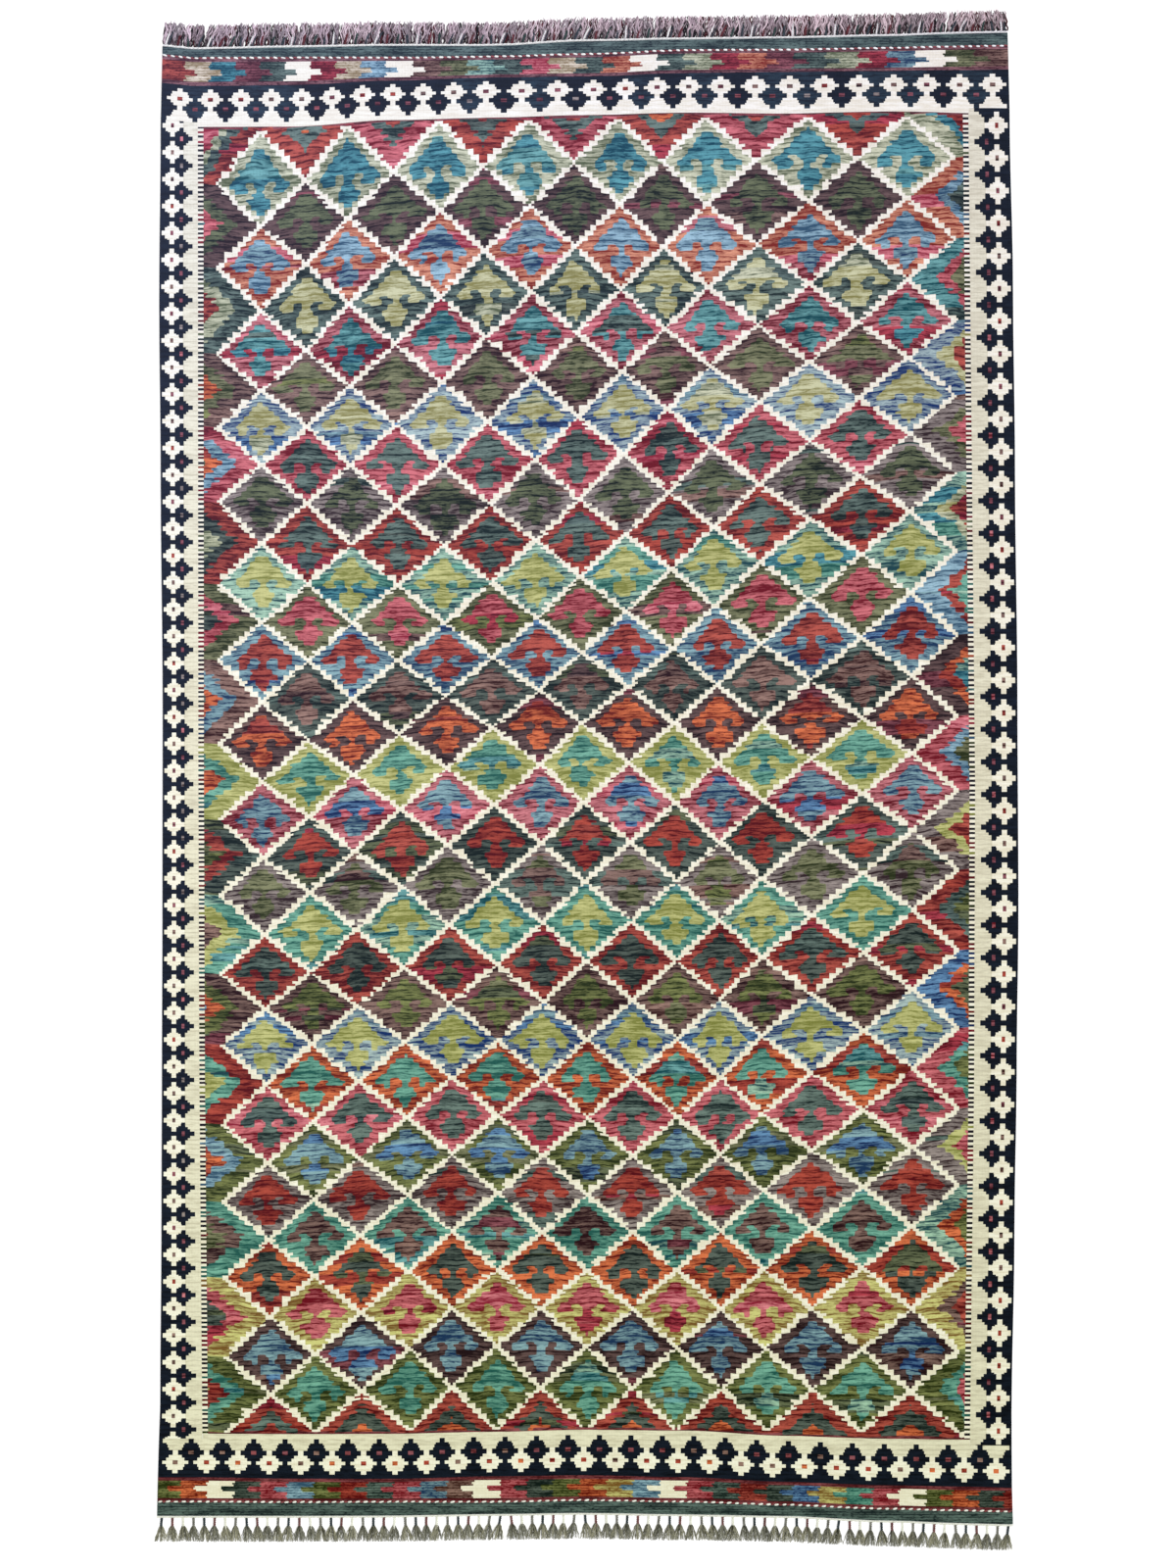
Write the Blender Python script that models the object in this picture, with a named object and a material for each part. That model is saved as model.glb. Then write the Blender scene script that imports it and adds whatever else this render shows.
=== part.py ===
"""Flat-woven wool rug (kilim) with a knotted fringe at each end, lying flat.

Units are metres, +Z is up and +Y points to the rug's upper end.  The origin is under the middle
of the rug, on the surface that it lies on.  Three pieces are built, each a closed solid:

* kilim_cloth    - the woven sheet, with its wavy selvedges, wavy ends and one soft fold crease
* fringe_top     - the upper warp fringe: tassels whose roots sit in a narrow locking cord
* fringe_bottom  - the same at the lower end
"""
import math
import random
from collections import namedtuple

import bmesh
import bpy

MM = 0.001

# ---- Driving sizes (metres) --------------------------------------------------------------------
HALF_WIDTH = 0.8625          # from the centre line to a selvedge, on average
HALF_LENGTH = 1.4900         # from the middle to an end of the cloth, on average
CLOTH_THICK = 0.0030
SEAM_GAP = 0.0003            # parts the cloth from each locking cord
CORD_WIDE = 0.0045           # the locking cord that holds the tassels' roots
CORD_THICK = 0.0035
SHIFT_ACROSS = 0.0015        # brings the middle of the whole rug, tassels included, onto the origin
SHIFT_ALONG = 0.0017

CLOTH_COLUMNS = 24           # even divisions across the cloth
CLOTH_ROWS = 40              # even divisions along the cloth

# How far each selvedge runs outside (+) or inside (-) of HALF_WIDTH, along the rug.
SelvedgeWander = namedtuple("SelvedgeWander", "along left right")
SELVEDGE_WANDER = (
    SelvedgeWander(along=-1.500, left=9.0 * MM, right=-5.0 * MM),
    SelvedgeWander(along=-1.390, left=7.0 * MM, right=-7.5 * MM),
    SelvedgeWander(along=-1.280, left=2.5 * MM, right=-8.0 * MM),
    SelvedgeWander(along=-0.900, left=0.0 * MM, right=-2.0 * MM),
    SelvedgeWander(along=-0.570, left=-1.0 * MM, right=2.5 * MM),
    SelvedgeWander(along=-0.260, left=-2.0 * MM, right=6.0 * MM),
    SelvedgeWander(along=0.150, left=-2.5 * MM, right=4.0 * MM),
    SelvedgeWander(along=0.620, left=1.5 * MM, right=-1.0 * MM),
    SelvedgeWander(along=0.980, left=4.5 * MM, right=-5.0 * MM),
    SelvedgeWander(along=1.330, left=1.5 * MM, right=-12.0 * MM),
    SelvedgeWander(along=1.500, left=-2.0 * MM, right=-16.0 * MM),
)

# How far each end runs outside (+) or inside (-) of HALF_LENGTH, across the rug.
EndWander = namedtuple("EndWander", "across top bottom")
END_WANDER = (
    EndWander(across=-0.870, top=-17.0 * MM, bottom=0.0 * MM),
    EndWander(across=-0.790, top=-18.0 * MM, bottom=0.0 * MM),
    EndWander(across=-0.595, top=-14.0 * MM, bottom=0.0 * MM),
    EndWander(across=-0.400, top=-11.0 * MM, bottom=-0.5 * MM),
    EndWander(across=-0.200, top=-11.5 * MM, bottom=-3.5 * MM),
    EndWander(across=0.000, top=-2.0 * MM, bottom=-6.0 * MM),
    EndWander(across=0.197, top=2.0 * MM, bottom=-3.0 * MM),
    EndWander(across=0.395, top=4.0 * MM, bottom=0.0 * MM),
    EndWander(across=0.593, top=8.0 * MM, bottom=9.0 * MM),
    EndWander(across=0.790, top=14.0 * MM, bottom=15.5 * MM),
    EndWander(across=0.870, top=15.5 * MM, bottom=17.5 * MM),
)

# The soft crease left by folding the rug lengthwise: a low ridge, open to the surface below.
CREASE_ACROSS = -0.020
CREASE_FROM = 0.900
CREASE_TO = 1.354
CREASE_HIGH = 0.0030
CREASE_REACH = 0.016         # from the ridge's crest to the flat cloth on each side

# The fringes.  Shares are parts of a tassel's length, counted from its root.
FringeStyle = namedtuple(
    "FringeStyle", "length tassels root neck neck_share flare flare_share tip thick tip_thick lean"
)
FRINGE_STYLES = {
    "top": FringeStyle(length=0.043, tassels=81, root=0.0090, neck=0.0100, neck_share=0.22,
                       flare=0.0165, flare_share=0.55, tip=0.0170, thick=0.0045,
                       tip_thick=0.0020, lean=0.0012),
    "bottom": FringeStyle(length=0.046, tassels=81, root=0.0060, neck=0.0050, neck_share=0.45,
                          flare=0.0140, flare_share=0.62, tip=0.0155, thick=0.0040,
                          tip_thick=0.0018, lean=0.0018),
}
END_MARGIN = 0.0095          # from each selvedge to the middle of the outermost tassel
LENGTH_SPREAD = 0.05         # a tassel's length differs by up to this share
TASSEL_SEED = 27

WOOL_COLOUR = (0.30, 0.24, 0.21, 1.0)
WARP_COLOUR = (0.45, 0.38, 0.33, 1.0)
WOOL_ROUGHNESS = 0.95


def blend(table, column, at):
    """Read one column of a table at a place, easing smoothly between the rows around it."""
    places = [row[0] for row in table]
    if at <= places[0]:
        return getattr(table[0], column)
    if at >= places[-1]:
        return getattr(table[-1], column)
    upper = next(index for index, place in enumerate(places) if place >= at)
    low, high = table[upper - 1], table[upper]
    share = (at - low[0]) / (high[0] - low[0])
    eased = share * share * (3.0 - 2.0 * share)
    return getattr(low, column) + eased * (getattr(high, column) - getattr(low, column))


def cloth_columns():
    """Places across the rug, from -HALF_WIDTH to HALF_WIDTH, with more of them at the crease."""
    step = 2.0 * HALF_WIDTH / CLOTH_COLUMNS
    even = [-HALF_WIDTH + step * index for index in range(CLOTH_COLUMNS + 1)]
    clear = [across for across in even if abs(across - CREASE_ACROSS) > CREASE_REACH + 0.2 * step]
    ridge = [CREASE_ACROSS + share * CREASE_REACH for share in (-1.0, -0.5, 0.0, 0.5, 1.0)]
    return sorted(clear + ridge)


def cloth_rows():
    """Places along the rug, from -HALF_LENGTH to HALF_LENGTH."""
    step = 2.0 * HALF_LENGTH / CLOTH_ROWS
    return [-HALF_LENGTH + step * index for index in range(CLOTH_ROWS + 1)]


def crease_lift(across, along):
    """How far the cloth stands off the surface: zero everywhere but along the crease."""
    aside = abs(across - CREASE_ACROSS) / CREASE_REACH
    onward = (along - CREASE_FROM) / (CREASE_TO - CREASE_FROM)
    if aside >= 1.0 or not 0.0 < onward < 1.0:
        return 0.0
    return CREASE_HIGH * math.cos(0.5 * math.pi * aside) ** 2 * math.sin(math.pi * onward)


def cloth_point(across, along):
    """Where an even place on the cloth lies, once the selvedges and ends have their waves."""
    left = -HALF_WIDTH - blend(SELVEDGE_WANDER, "left", along)
    right = HALF_WIDTH + blend(SELVEDGE_WANDER, "right", along)
    x = SHIFT_ACROSS + left + (right - left) * (across + HALF_WIDTH) / (2.0 * HALF_WIDTH)
    top = HALF_LENGTH + blend(END_WANDER, "top", across)
    bottom = -HALF_LENGTH - blend(END_WANDER, "bottom", across)
    y = SHIFT_ALONG + bottom + (top - bottom) * (along + HALF_LENGTH) / (2.0 * HALF_LENGTH)
    return x, y


def end_line(side):
    """The cloth's end, as the straight runs between its columns; side is +1 top or -1 bottom."""
    return [cloth_point(across, side * HALF_LENGTH) for across in cloth_columns()]


def on_line(line, x):
    """The y of a line of points at x."""
    upper = next((index for index, point in enumerate(line) if point[0] >= x), len(line) - 1)
    upper = max(upper, 1)
    (x_low, y_low), (x_high, y_high) = line[upper - 1], line[upper]
    return y_low + (y_high - y_low) * (x - x_low) / (x_high - x_low)


def wool(name, colour):
    """A plain wool finish."""
    finish = bpy.data.materials.new(name)
    finish.use_nodes = True
    shader = finish.node_tree.nodes["Principled BSDF"]
    shader.inputs["Base Color"].default_value = colour
    shader.inputs["Roughness"].default_value = WOOL_ROUGHNESS
    shader.inputs["Metallic"].default_value = 0.0
    return finish


def place_mesh(name, shape, finish):
    """Turn a bmesh into a named object in the scene."""
    bmesh.ops.recalc_face_normals(shape, faces=shape.faces)
    mesh = bpy.data.meshes.new(name)
    shape.to_mesh(mesh)
    shape.free()
    piece = bpy.data.objects.new(name, mesh)
    piece.data.materials.append(finish)
    bpy.context.scene.collection.objects.link(piece)
    return piece


def build_cloth():
    """The woven sheet: one closed slab whose two faces follow the same soft crease."""
    shape = bmesh.new()
    columns, rows = cloth_columns(), cloth_rows()
    under, over = [], []
    for along in rows:
        under_row, over_row = [], []
        for across in columns:
            x, y = cloth_point(across, along)
            lift = crease_lift(across, along)
            under_row.append(shape.verts.new((x, y, lift)))
            over_row.append(shape.verts.new((x, y, lift + CLOTH_THICK)))
        under.append(under_row)
        over.append(over_row)
    for row in range(len(rows) - 1):
        for column in range(len(columns) - 1):
            for grid in (under, over):
                shape.faces.new((grid[row][column], grid[row][column + 1],
                                 grid[row + 1][column + 1], grid[row + 1][column]))
    for row in (0, len(rows) - 1):
        for column in range(len(columns) - 1):
            shape.faces.new((under[row][column], under[row][column + 1],
                             over[row][column + 1], over[row][column]))
    for column in (0, len(columns) - 1):
        for row in range(len(rows) - 1):
            shape.faces.new((under[row][column], under[row + 1][column],
                             over[row + 1][column], over[row][column]))
    bmesh.ops.triangulate(shape, faces=shape.faces)
    return place_mesh("kilim_cloth", shape, wool("kilim_wool", WOOL_COLOUR))


def ring_of(shape, middle, y, wide, thick):
    """Four corners of a strand's cross-section that stands on the surface."""
    half = 0.5 * wide
    corners = ((middle - half, 0.0), (middle + half, 0.0), (middle + half, thick), (middle - half, thick))
    return [shape.verts.new((x, y, z)) for x, z in corners]


def add_strand(shape, root_ring, root_place, side, style, luck):
    """Grow one tassel out of a face of the locking cord: neck, flare and open tip."""
    middle, y = root_place
    length = style.length * (1.0 + luck.uniform(-LENGTH_SPREAD, 0.0))
    lean = luck.uniform(-style.lean, style.lean)
    stations = (
        (style.neck_share, style.neck, style.thick),
        (style.flare_share, style.flare, style.thick),
        (1.0, style.tip, style.tip_thick),
    )
    last = root_ring
    for share, wide, thick in stations:
        ring = ring_of(shape, middle + lean * share, y + side * length * share, wide, thick)
        for corner in range(4):
            after = (corner + 1) % 4
            shape.faces.new((last[corner], last[after], ring[after], ring[corner]))
        last = ring
    shape.faces.new(last)


def cord_station(shape, line, x, side):
    """One cross-section of the locking cord: inner and outer corners, low and high."""
    inner = on_line(line, x) + side * SEAM_GAP
    outer = inner + side * CORD_WIDE
    return {
        "inner_low": shape.verts.new((x, inner, 0.0)),
        "inner_high": shape.verts.new((x, inner, CORD_THICK)),
        "outer_low": shape.verts.new((x, outer, 0.0)),
        "outer_high": shape.verts.new((x, outer, CORD_THICK)),
        "outer": outer,
    }


def tassel_middles(line, style):
    """The places across the rug where the tassels are rooted."""
    first, last = line[0][0] + END_MARGIN, line[-1][0] - END_MARGIN
    step = (last - first) / (style.tassels - 1)
    return [first + step * index for index in range(style.tassels)]


def build_fringe(end, side):
    """A row of tassels and the locking cord that their roots sit in, as one closed solid."""
    shape = bmesh.new()
    style = FRINGE_STYLES[end]
    line = end_line(side)
    luck = random.Random(TASSEL_SEED + side)
    middles = tassel_middles(line, style)
    places = [(line[0][0], None)]
    for middle in middles:
        places.append((middle - 0.5 * style.root, middle))
        places.append((middle + 0.5 * style.root, None))
    places.append((line[-1][0], None))
    stations = [cord_station(shape, line, x, side) for x, _ in places]
    for index in range(len(stations) - 1):
        here, there = stations[index], stations[index + 1]
        middle = places[index][1]
        shape.faces.new((here["inner_low"], there["inner_low"], there["inner_high"], here["inner_high"]))
        shape.faces.new((here["inner_low"], there["inner_low"], there["outer_low"], here["outer_low"]))
        shape.faces.new((here["inner_high"], there["inner_high"], there["outer_high"], here["outer_high"]))
        root_ring = (here["outer_low"], there["outer_low"], there["outer_high"], here["outer_high"])
        if middle is None:
            shape.faces.new(root_ring)
        else:
            root_place = (middle, 0.5 * (here["outer"] + there["outer"]))
            add_strand(shape, root_ring, root_place, side, style, luck)
    for cut in (stations[0], stations[-1]):
        shape.faces.new((cut["inner_low"], cut["outer_low"], cut["outer_high"], cut["inner_high"]))
    bmesh.ops.triangulate(shape, faces=shape.faces)
    return place_mesh("fringe_" + end, shape, wool("warp_wool_" + end, WARP_COLOUR))


def clear_scene():
    """Take away whatever the scene starts with."""
    for thing in list(bpy.data.objects):
        bpy.data.objects.remove(thing, do_unlink=True)


def main():
    """Build the rug's three pieces."""
    clear_scene()
    build_cloth()
    build_fringe("top", 1)
    build_fringe("bottom", -1)


main()
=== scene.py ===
"""Looks of a flat-woven wool rug (kilim) with a knotted fringe at each end, lying flat.

Units are metres, +Z is up and +Y points to the rug's upper end.  The rug is charted as a weaver
charts it: a lattice of diamonds in stepped cells, two flower borders, two bands of short colour
blocks, twined lines, locking cords and tassels.  Every patch of cloth is laid on the top face of
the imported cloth, between its selvedges and ends.
"""

import logging
import math
from dataclasses import dataclass, field
from enum import Enum
from typing import NamedTuple

import bpy
import numpy as np
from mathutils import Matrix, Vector
from mathutils.bvhtree import BVHTree


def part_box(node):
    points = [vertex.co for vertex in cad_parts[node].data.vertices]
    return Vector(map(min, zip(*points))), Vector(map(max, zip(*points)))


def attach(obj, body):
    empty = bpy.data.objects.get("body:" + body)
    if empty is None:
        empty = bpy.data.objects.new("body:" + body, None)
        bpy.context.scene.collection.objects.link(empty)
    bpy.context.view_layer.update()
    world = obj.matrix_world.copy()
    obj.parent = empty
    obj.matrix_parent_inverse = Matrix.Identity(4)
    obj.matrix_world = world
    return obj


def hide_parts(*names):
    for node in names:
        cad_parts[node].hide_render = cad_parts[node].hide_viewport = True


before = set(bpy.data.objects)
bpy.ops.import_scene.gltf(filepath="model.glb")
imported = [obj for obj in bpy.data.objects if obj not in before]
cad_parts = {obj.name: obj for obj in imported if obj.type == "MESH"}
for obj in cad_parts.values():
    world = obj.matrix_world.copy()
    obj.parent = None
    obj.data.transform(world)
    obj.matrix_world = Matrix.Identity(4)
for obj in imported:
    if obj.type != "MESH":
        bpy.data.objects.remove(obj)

MM = 0.001
CLOTH_NODE = "kilim_cloth"
FRINGE_NODES = {"top": "fringe_top", "bottom": "fringe_bottom"}
DARK_LAYER = "yarn_dark"      # each face's dark streaks, and in alpha how light the yarn runs there, painted shade included
LIGHT_LAYER = "yarn_light"
BAKE_LAYER = "OFBake"
WEAVE_LAYER = "weave"        # metres across and along, following the wefts
WHOLE_BAKE = (0.002, 0.998, 0.002, 0.998)    # a patch's place in the bake: u from, u to, v from, v to
BORDER_BAKE = (0.002, 0.8, 0.002, 0.998)
COMB_BAKE = (0.82, 0.998, 0.002, 0.998)
RUG_WIDE = 1.74
RUG_LONG = 3.03
SEED = 411
TINY = 1e-9                  # keeps a length from being zero where it divides
FLAT_FACE = 1e-8             # square metres: a face whose diagonals span less is left out

log = logging.getLogger("kilim")


class Yarn(Enum):
    """The dyed yarns, and SHADOW, a painted shadow: the display colour of each one's dark streaks, to which
    painted shade lines also darken, then of its light streaks.
    """

    CREAM = ((234, 227, 201), (252, 249, 230))
    IVORY = ((208, 202, 174), (236, 232, 204))
    CORD_WHITE = ((212, 210, 200), (255, 254, 250))
    FADED_NAVY = ((12, 20, 28), (38, 56, 68))
    HEATHER = ((64, 24, 30), (158, 112, 116))
    NAVY = ((2, 6, 11), (16, 25, 37))
    SKIRT = ((20, 34, 34), (98, 118, 112))
    SAGE = ((84, 94, 64), (208, 210, 174))
    STRAW = ((134, 130, 72), (206, 206, 160))
    LIME = ((124, 128, 56), (200, 200, 132))
    MUSTARD = ((118, 84, 34), (212, 210, 132))
    OLIVE = ((34, 44, 0), (132, 138, 82))
    MOSS = ((36, 44, 0), (134, 136, 100))
    DEEP_GREEN = ((8, 20, 0), (108, 116, 84))
    SLATE_GREEN = ((14, 32, 26), (110, 130, 120))
    DARK_SLATE = ((8, 24, 16), (94, 106, 96))
    SLATE_BLUE = ((20, 50, 84), (140, 176, 182))
    TEAL_BLUE = ((2, 64, 80), (92, 160, 168))
    DEEP_TEAL = ((0, 68, 74), (114, 172, 170))
    SEA_GREEN = ((28, 86, 76), (122, 182, 160))
    PALE_TEAL = ((20, 64, 70), (168, 206, 178))
    SKY = ((46, 80, 104), (158, 194, 208))
    PALE_BLUE = ((6, 42, 96), (176, 198, 192))
    BLUE = ((8, 34, 80), (106, 150, 190))
    PINK = ((140, 32, 50), (232, 140, 148))
    ROSE = ((106, 2, 14), (214, 116, 122))
    DUSTY_ROSE = ((92, 0, 6), (210, 128, 134))
    CORAL = ((122, 30, 6), (222, 152, 120))
    ORANGE = ((100, 18, 0), (228, 122, 74))
    RED = ((80, 2, 0), (188, 88, 72))
    CRIMSON = ((84, 0, 0), (180, 76, 58))
    CARMINE = ((84, 0, 14), (186, 68, 80))
    PLUM = ((28, 8, 4), (108, 84, 80))
    PLUM_BROWN = ((36, 4, 0), (140, 112, 102))
    BROWN = ((50, 16, 2), (156, 124, 112))
    SAND = ((136, 118, 84), (234, 222, 192))
    MULBERRY = ((62, 10, 18), (152, 88, 96))
    MAUVE_GREY = ((44, 26, 24), (158, 146, 140))
    DARK_RED = ((70, 16, 18), (150, 80, 84))
    # not a dyed yarn: painted shadow, for dark comb teeth and the locks under the upper tassels
    SHADOW = ((24, 20, 22), (70, 60, 58))
    FLEECE_PINK = ((50, 32, 32), (232, 208, 202))
    FLEECE_MAUVE = ((48, 34, 36), (192, 170, 168))
    FLEECE_SLATE = ((32, 26, 24), (184, 168, 164))
    FLEECE_OLIVE = ((40, 40, 30), (176, 172, 152))
    FLEECE_GREY = ((52, 52, 44), (160, 158, 146))
    NECK_SLATE = ((24, 30, 34), (74, 84, 90))
    NECK_GREEN = ((22, 36, 32), (66, 86, 80))
    NECK_MAROON = ((62, 16, 20), (116, 62, 66))
    NECK_ROSE = ((80, 44, 46), (142, 100, 100))
    NECK_GREY = ((84, 82, 78), (150, 148, 142))


class End(Enum):
    """The two ends of the rug: the sign of their y."""

    TOP = 1
    BOTTOM = -1


class Side(Enum):
    """The two long sides of the rug: the sign of their x."""

    LEFT = -1
    RIGHT = 1


def table(kind: type, *rows: tuple) -> tuple:
    """Rows of a table; kind is the NamedTuple that names its columns."""
    return tuple(kind(*row) for row in rows)


class DiamondRow(NamedTuple):
    """One row of diamonds: where its middles lie along the rug, in mm, and its yarns.

    ring and figure are the yarns of the full row; lower_ring and lower_figure are those of the
    row nested below it; left and right are the nested bands of that lower row's half diamonds.
    """

    left: float
    inner_left: float
    middle: float
    inner_right: float
    right: float
    ring: Yarn
    figure: Yarn
    lower_ring: Yarn
    lower_figure: Yarn
    left_bands: tuple
    right_bands: tuple


Y = Yarn
DIAMOND_ROWS = table(
    DiamondRow,
    (1210, 1237, 1247, 1250, 1255, Y.SAGE, Y.TEAL_BLUE, Y.PLUM, Y.DEEP_GREEN,
     (Y.PLUM, Y.DEEP_GREEN, Y.ROSE, Y.DEEP_TEAL), (Y.CORAL, Y.SKY, Y.SLATE_GREEN)),
    (1041, 1064, 1077, 1076, 1089, Y.CORAL, Y.SKY, Y.SLATE_GREEN, Y.STRAW,
     (Y.SLATE_GREEN, Y.SAGE, Y.RED, Y.TEAL_BLUE), (Y.DEEP_TEAL, Y.ROSE, Y.MOSS)),
    (867, 888, 903, 914, 924, Y.DUSTY_ROSE, Y.DEEP_TEAL, Y.PLUM_BROWN, Y.MOSS,
     (Y.PLUM_BROWN, Y.MOSS, Y.ORANGE, Y.SLATE_GREEN), (Y.PALE_BLUE, Y.STRAW, Y.RED)),
    (713, 718, 734, 757, 772, Y.PALE_BLUE, Y.STRAW, Y.ROSE, Y.SLATE_GREEN,
     (Y.ROSE, Y.SKY, Y.ORANGE, Y.DEEP_GREEN), (Y.MAUVE_GREY, Y.MOSS, Y.ROSE)),
    (558, 552, 566, 588, 613, Y.MAUVE_GREY, Y.DEEP_GREEN, Y.RED, Y.SLATE_GREEN,
     (Y.RED, Y.DARK_SLATE, Y.SAGE, Y.MAUVE_GREY), (Y.PALE_TEAL, Y.STRAW, Y.RED)),
    (394, 392, 410, 433, 455, Y.PALE_TEAL, Y.LIME, Y.MOSS, Y.ROSE,
     (Y.MOSS, Y.ROSE, Y.DARK_SLATE, Y.ROSE), (Y.SKY, Y.RED, Y.SEA_GREEN)),
    (241, 241, 257, 269, 287, Y.SLATE_BLUE, Y.RED, Y.DARK_SLATE, Y.BROWN,
     (Y.BROWN, Y.SLATE_BLUE, Y.ORANGE, Y.SLATE_GREEN), (Y.PLUM, Y.ORANGE, Y.PALE_TEAL)),
    (79, 100, 115, 114, 125, Y.PLUM, Y.ORANGE, Y.LIME, Y.SEA_GREEN,
     (Y.LIME, Y.SEA_GREEN, Y.ORANGE, Y.ORANGE), (Y.ROSE, Y.SKY, Y.MOSS)),
    (-74, -52, -46, -48, -28, Y.DUSTY_ROSE, Y.SLATE_BLUE, Y.DARK_SLATE, Y.CRIMSON,
     (Y.DARK_SLATE, Y.RED, Y.MOSS, Y.DEEP_GREEN), (Y.MAUVE_GREY, Y.LIME, Y.RED)),
    (-228, -211, -206, -206, -188, Y.MAUVE_GREY, Y.MOSS, Y.SEA_GREEN, Y.LIME,
     (Y.SEA_GREEN, Y.LIME, Y.BROWN, Y.BROWN), (Y.RED, Y.SLATE_GREEN, Y.OLIVE)),
    (-388, -375, -367, -363, -349, Y.RED, Y.DARK_SLATE, Y.PLUM_BROWN, Y.OLIVE,
     (Y.PLUM_BROWN, Y.OLIVE, Y.ORANGE, Y.SKY), (Y.BLUE, Y.ORANGE, Y.DEEP_GREEN)),
    (-533, -527, -525, -523, -507, Y.PALE_BLUE, Y.LIME, Y.ORANGE, Y.SEA_GREEN,
     (Y.CRIMSON, Y.SEA_GREEN, Y.LIME, Y.PLUM), (Y.ROSE, Y.SEA_GREEN, Y.OLIVE)),
    (-691, -677, -683, -680, -668, Y.ROSE, Y.SLATE_GREEN, Y.OLIVE, Y.SLATE_BLUE,
     (Y.OLIVE, Y.SKY, Y.ORANGE, Y.SLATE_GREEN), (Y.MAUVE_GREY, Y.LIME, Y.ROSE)),
    (-848, -833, -838, -832, -822, Y.MAUVE_GREY, Y.CRIMSON, Y.SEA_GREEN, Y.PLUM_BROWN,
     (Y.SEA_GREEN, Y.PLUM_BROWN, Y.MOSS, Y.RED), (Y.PALE_TEAL, Y.ORANGE, Y.OLIVE)),
    (-1002, -990, -992, -989, -986, Y.ORANGE, Y.DARK_SLATE, Y.MUSTARD, Y.ROSE,
     (Y.MUSTARD, Y.ROSE, Y.DARK_SLATE, Y.ORANGE), (Y.MUSTARD, Y.PLUM_BROWN, Y.RED)),
    (-1161, -1145, -1145, -1149, -1151, Y.PLUM, Y.SLATE_BLUE, Y.OLIVE, Y.SEA_GREEN,
     (Y.OLIVE, Y.SEA_GREEN, Y.RED, Y.LIME), (Y.OLIVE, Y.SEA_GREEN, Y.ROSE)),
    (-1319, -1314, -1315, -1315, -1319, Y.RED, Y.DARK_SLATE, Y.RED, Y.DARK_SLATE,
     (Y.RED, Y.DARK_SLATE, Y.ORANGE, Y.ORANGE), (Y.RED, Y.DARK_SLATE, Y.ORANGE)),
)
ROW_STATIONS = {"left": 2.0, "inner_left": 5.0, "middle": 8.0, "inner_right": 11.0, "right": 14.0}
TOP_LEFT_BANDS = (Y.RED, Y.SLATE_GREEN, Y.SAGE, Y.PINK)
TOP_RIGHT_BANDS = (Y.SAGE, Y.TEAL_BLUE, Y.CRIMSON)
TOP_HALVES = ((Y.RED, Y.SLATE_GREEN, Y.ORANGE), (Y.ROSE, Y.SLATE_GREEN, Y.RED))
BOTTOM_HALF = (Y.RED, Y.DARK_SLATE, Y.ORANGE)


class DiamondColumn(NamedTuple):
    """One column of diamonds: how far across the rug its middle lies, in mm, at four places."""

    top: float
    middle: float
    lower: float
    bottom: float


DIAMOND_COLUMNS = table(
    DiamondColumn,
    (-748, -744, -739, -732), (-661, -657, -649, -641), (-570, -564, -556, -550),
    (-485, -473, -463, -457), (-392, -380, -366, -360), (-299, -285, -274, -275),
    (-210, -190, -180, -184), (-117, -95, -89, -95), (-27, -9, -1, -2), (64, 84, 92, 90),
    (151, 178, 182, 179), (240, 265, 268, 269), (341, 353, 351, 359), (446, 452, 452, 454),
    (545, 555, 558, 553), (644, 656, 656, 652), (741, 747, 748, 749),
)
COLUMN_PLACES = {"top": 1178, "middle": -10, "lower": -604, "bottom": -1198}    # mm along the rug
PAST_PLACES = 0.2            # how far a column runs on past the first and last place, of their spacing
FIELD_LEFT = DiamondColumn(-776, -775, -773, -768)
FIELD_RIGHT = DiamondColumn(759, 771, 769, 762)


class EndBands(NamedTuple):
    """How far in from the cloth's end, in mm, three lines lie, at one place across the rug."""

    across: float
    skirt: float
    medley: float
    flowers: float


END_BANDS = {
    End.TOP: table(
        EndBands,
        (-870, 18, 74, 157), (-790, 18, 74, 157), (-593, 21, 76, 160), (-395, 24, 70, 150),
        (-197, 22, 64, 145), (0, 26, 71, 149), (199, 22, 68, 148), (397, 23, 68, 152),
        (595, 24, 70, 152), (793, 26, 74, 161), (870, 26, 74, 163),
    ),
    End.BOTTOM: table(
        EndBands,
        (-870, 29, 78, 166), (-790, 29, 78, 166), (-593, 28, 75, 165), (-395, 28, 74, 165),
        (-197, 25, 76, 166), (0, 26, 76, 168), (199, 26, 75, 169), (397, 23, 69, 162),
        (595, 24, 71, 165), (793, 26, 74, 169), (870, 26, 74, 170),
    ),
}


class FlowerStation(NamedTuple):
    """Where the flower of a given number stands, in mm across or along the rug."""

    number: float
    place: float


END_FLOWERS = {
    End.TOP: table(
        FlowerStation,
        (-1, -886), (0, -823), (9, -271), (10, -206), (13, 12), (17, 268), (22, 618), (25, 817),
        (26, 883),
    ),
    End.BOTTOM: table(
        FlowerStation,
        (-1, -897), (0, -834), (19, 373), (26, 825), (27, 890),
    ),
}
SIDE_FLOWERS = {
    Side.LEFT: table(
        FlowerStation,
        (0, 1320), (49, -1341),
    ),
    Side.RIGHT: table(
        FlowerStation,
        (0, 1320), (40, -1317),
    ),
}
COMB_PITCH = {Side.LEFT: 9.3 * MM, Side.RIGHT: 9.7 * MM}
COMB_WIDE = 11.5 * MM

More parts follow.
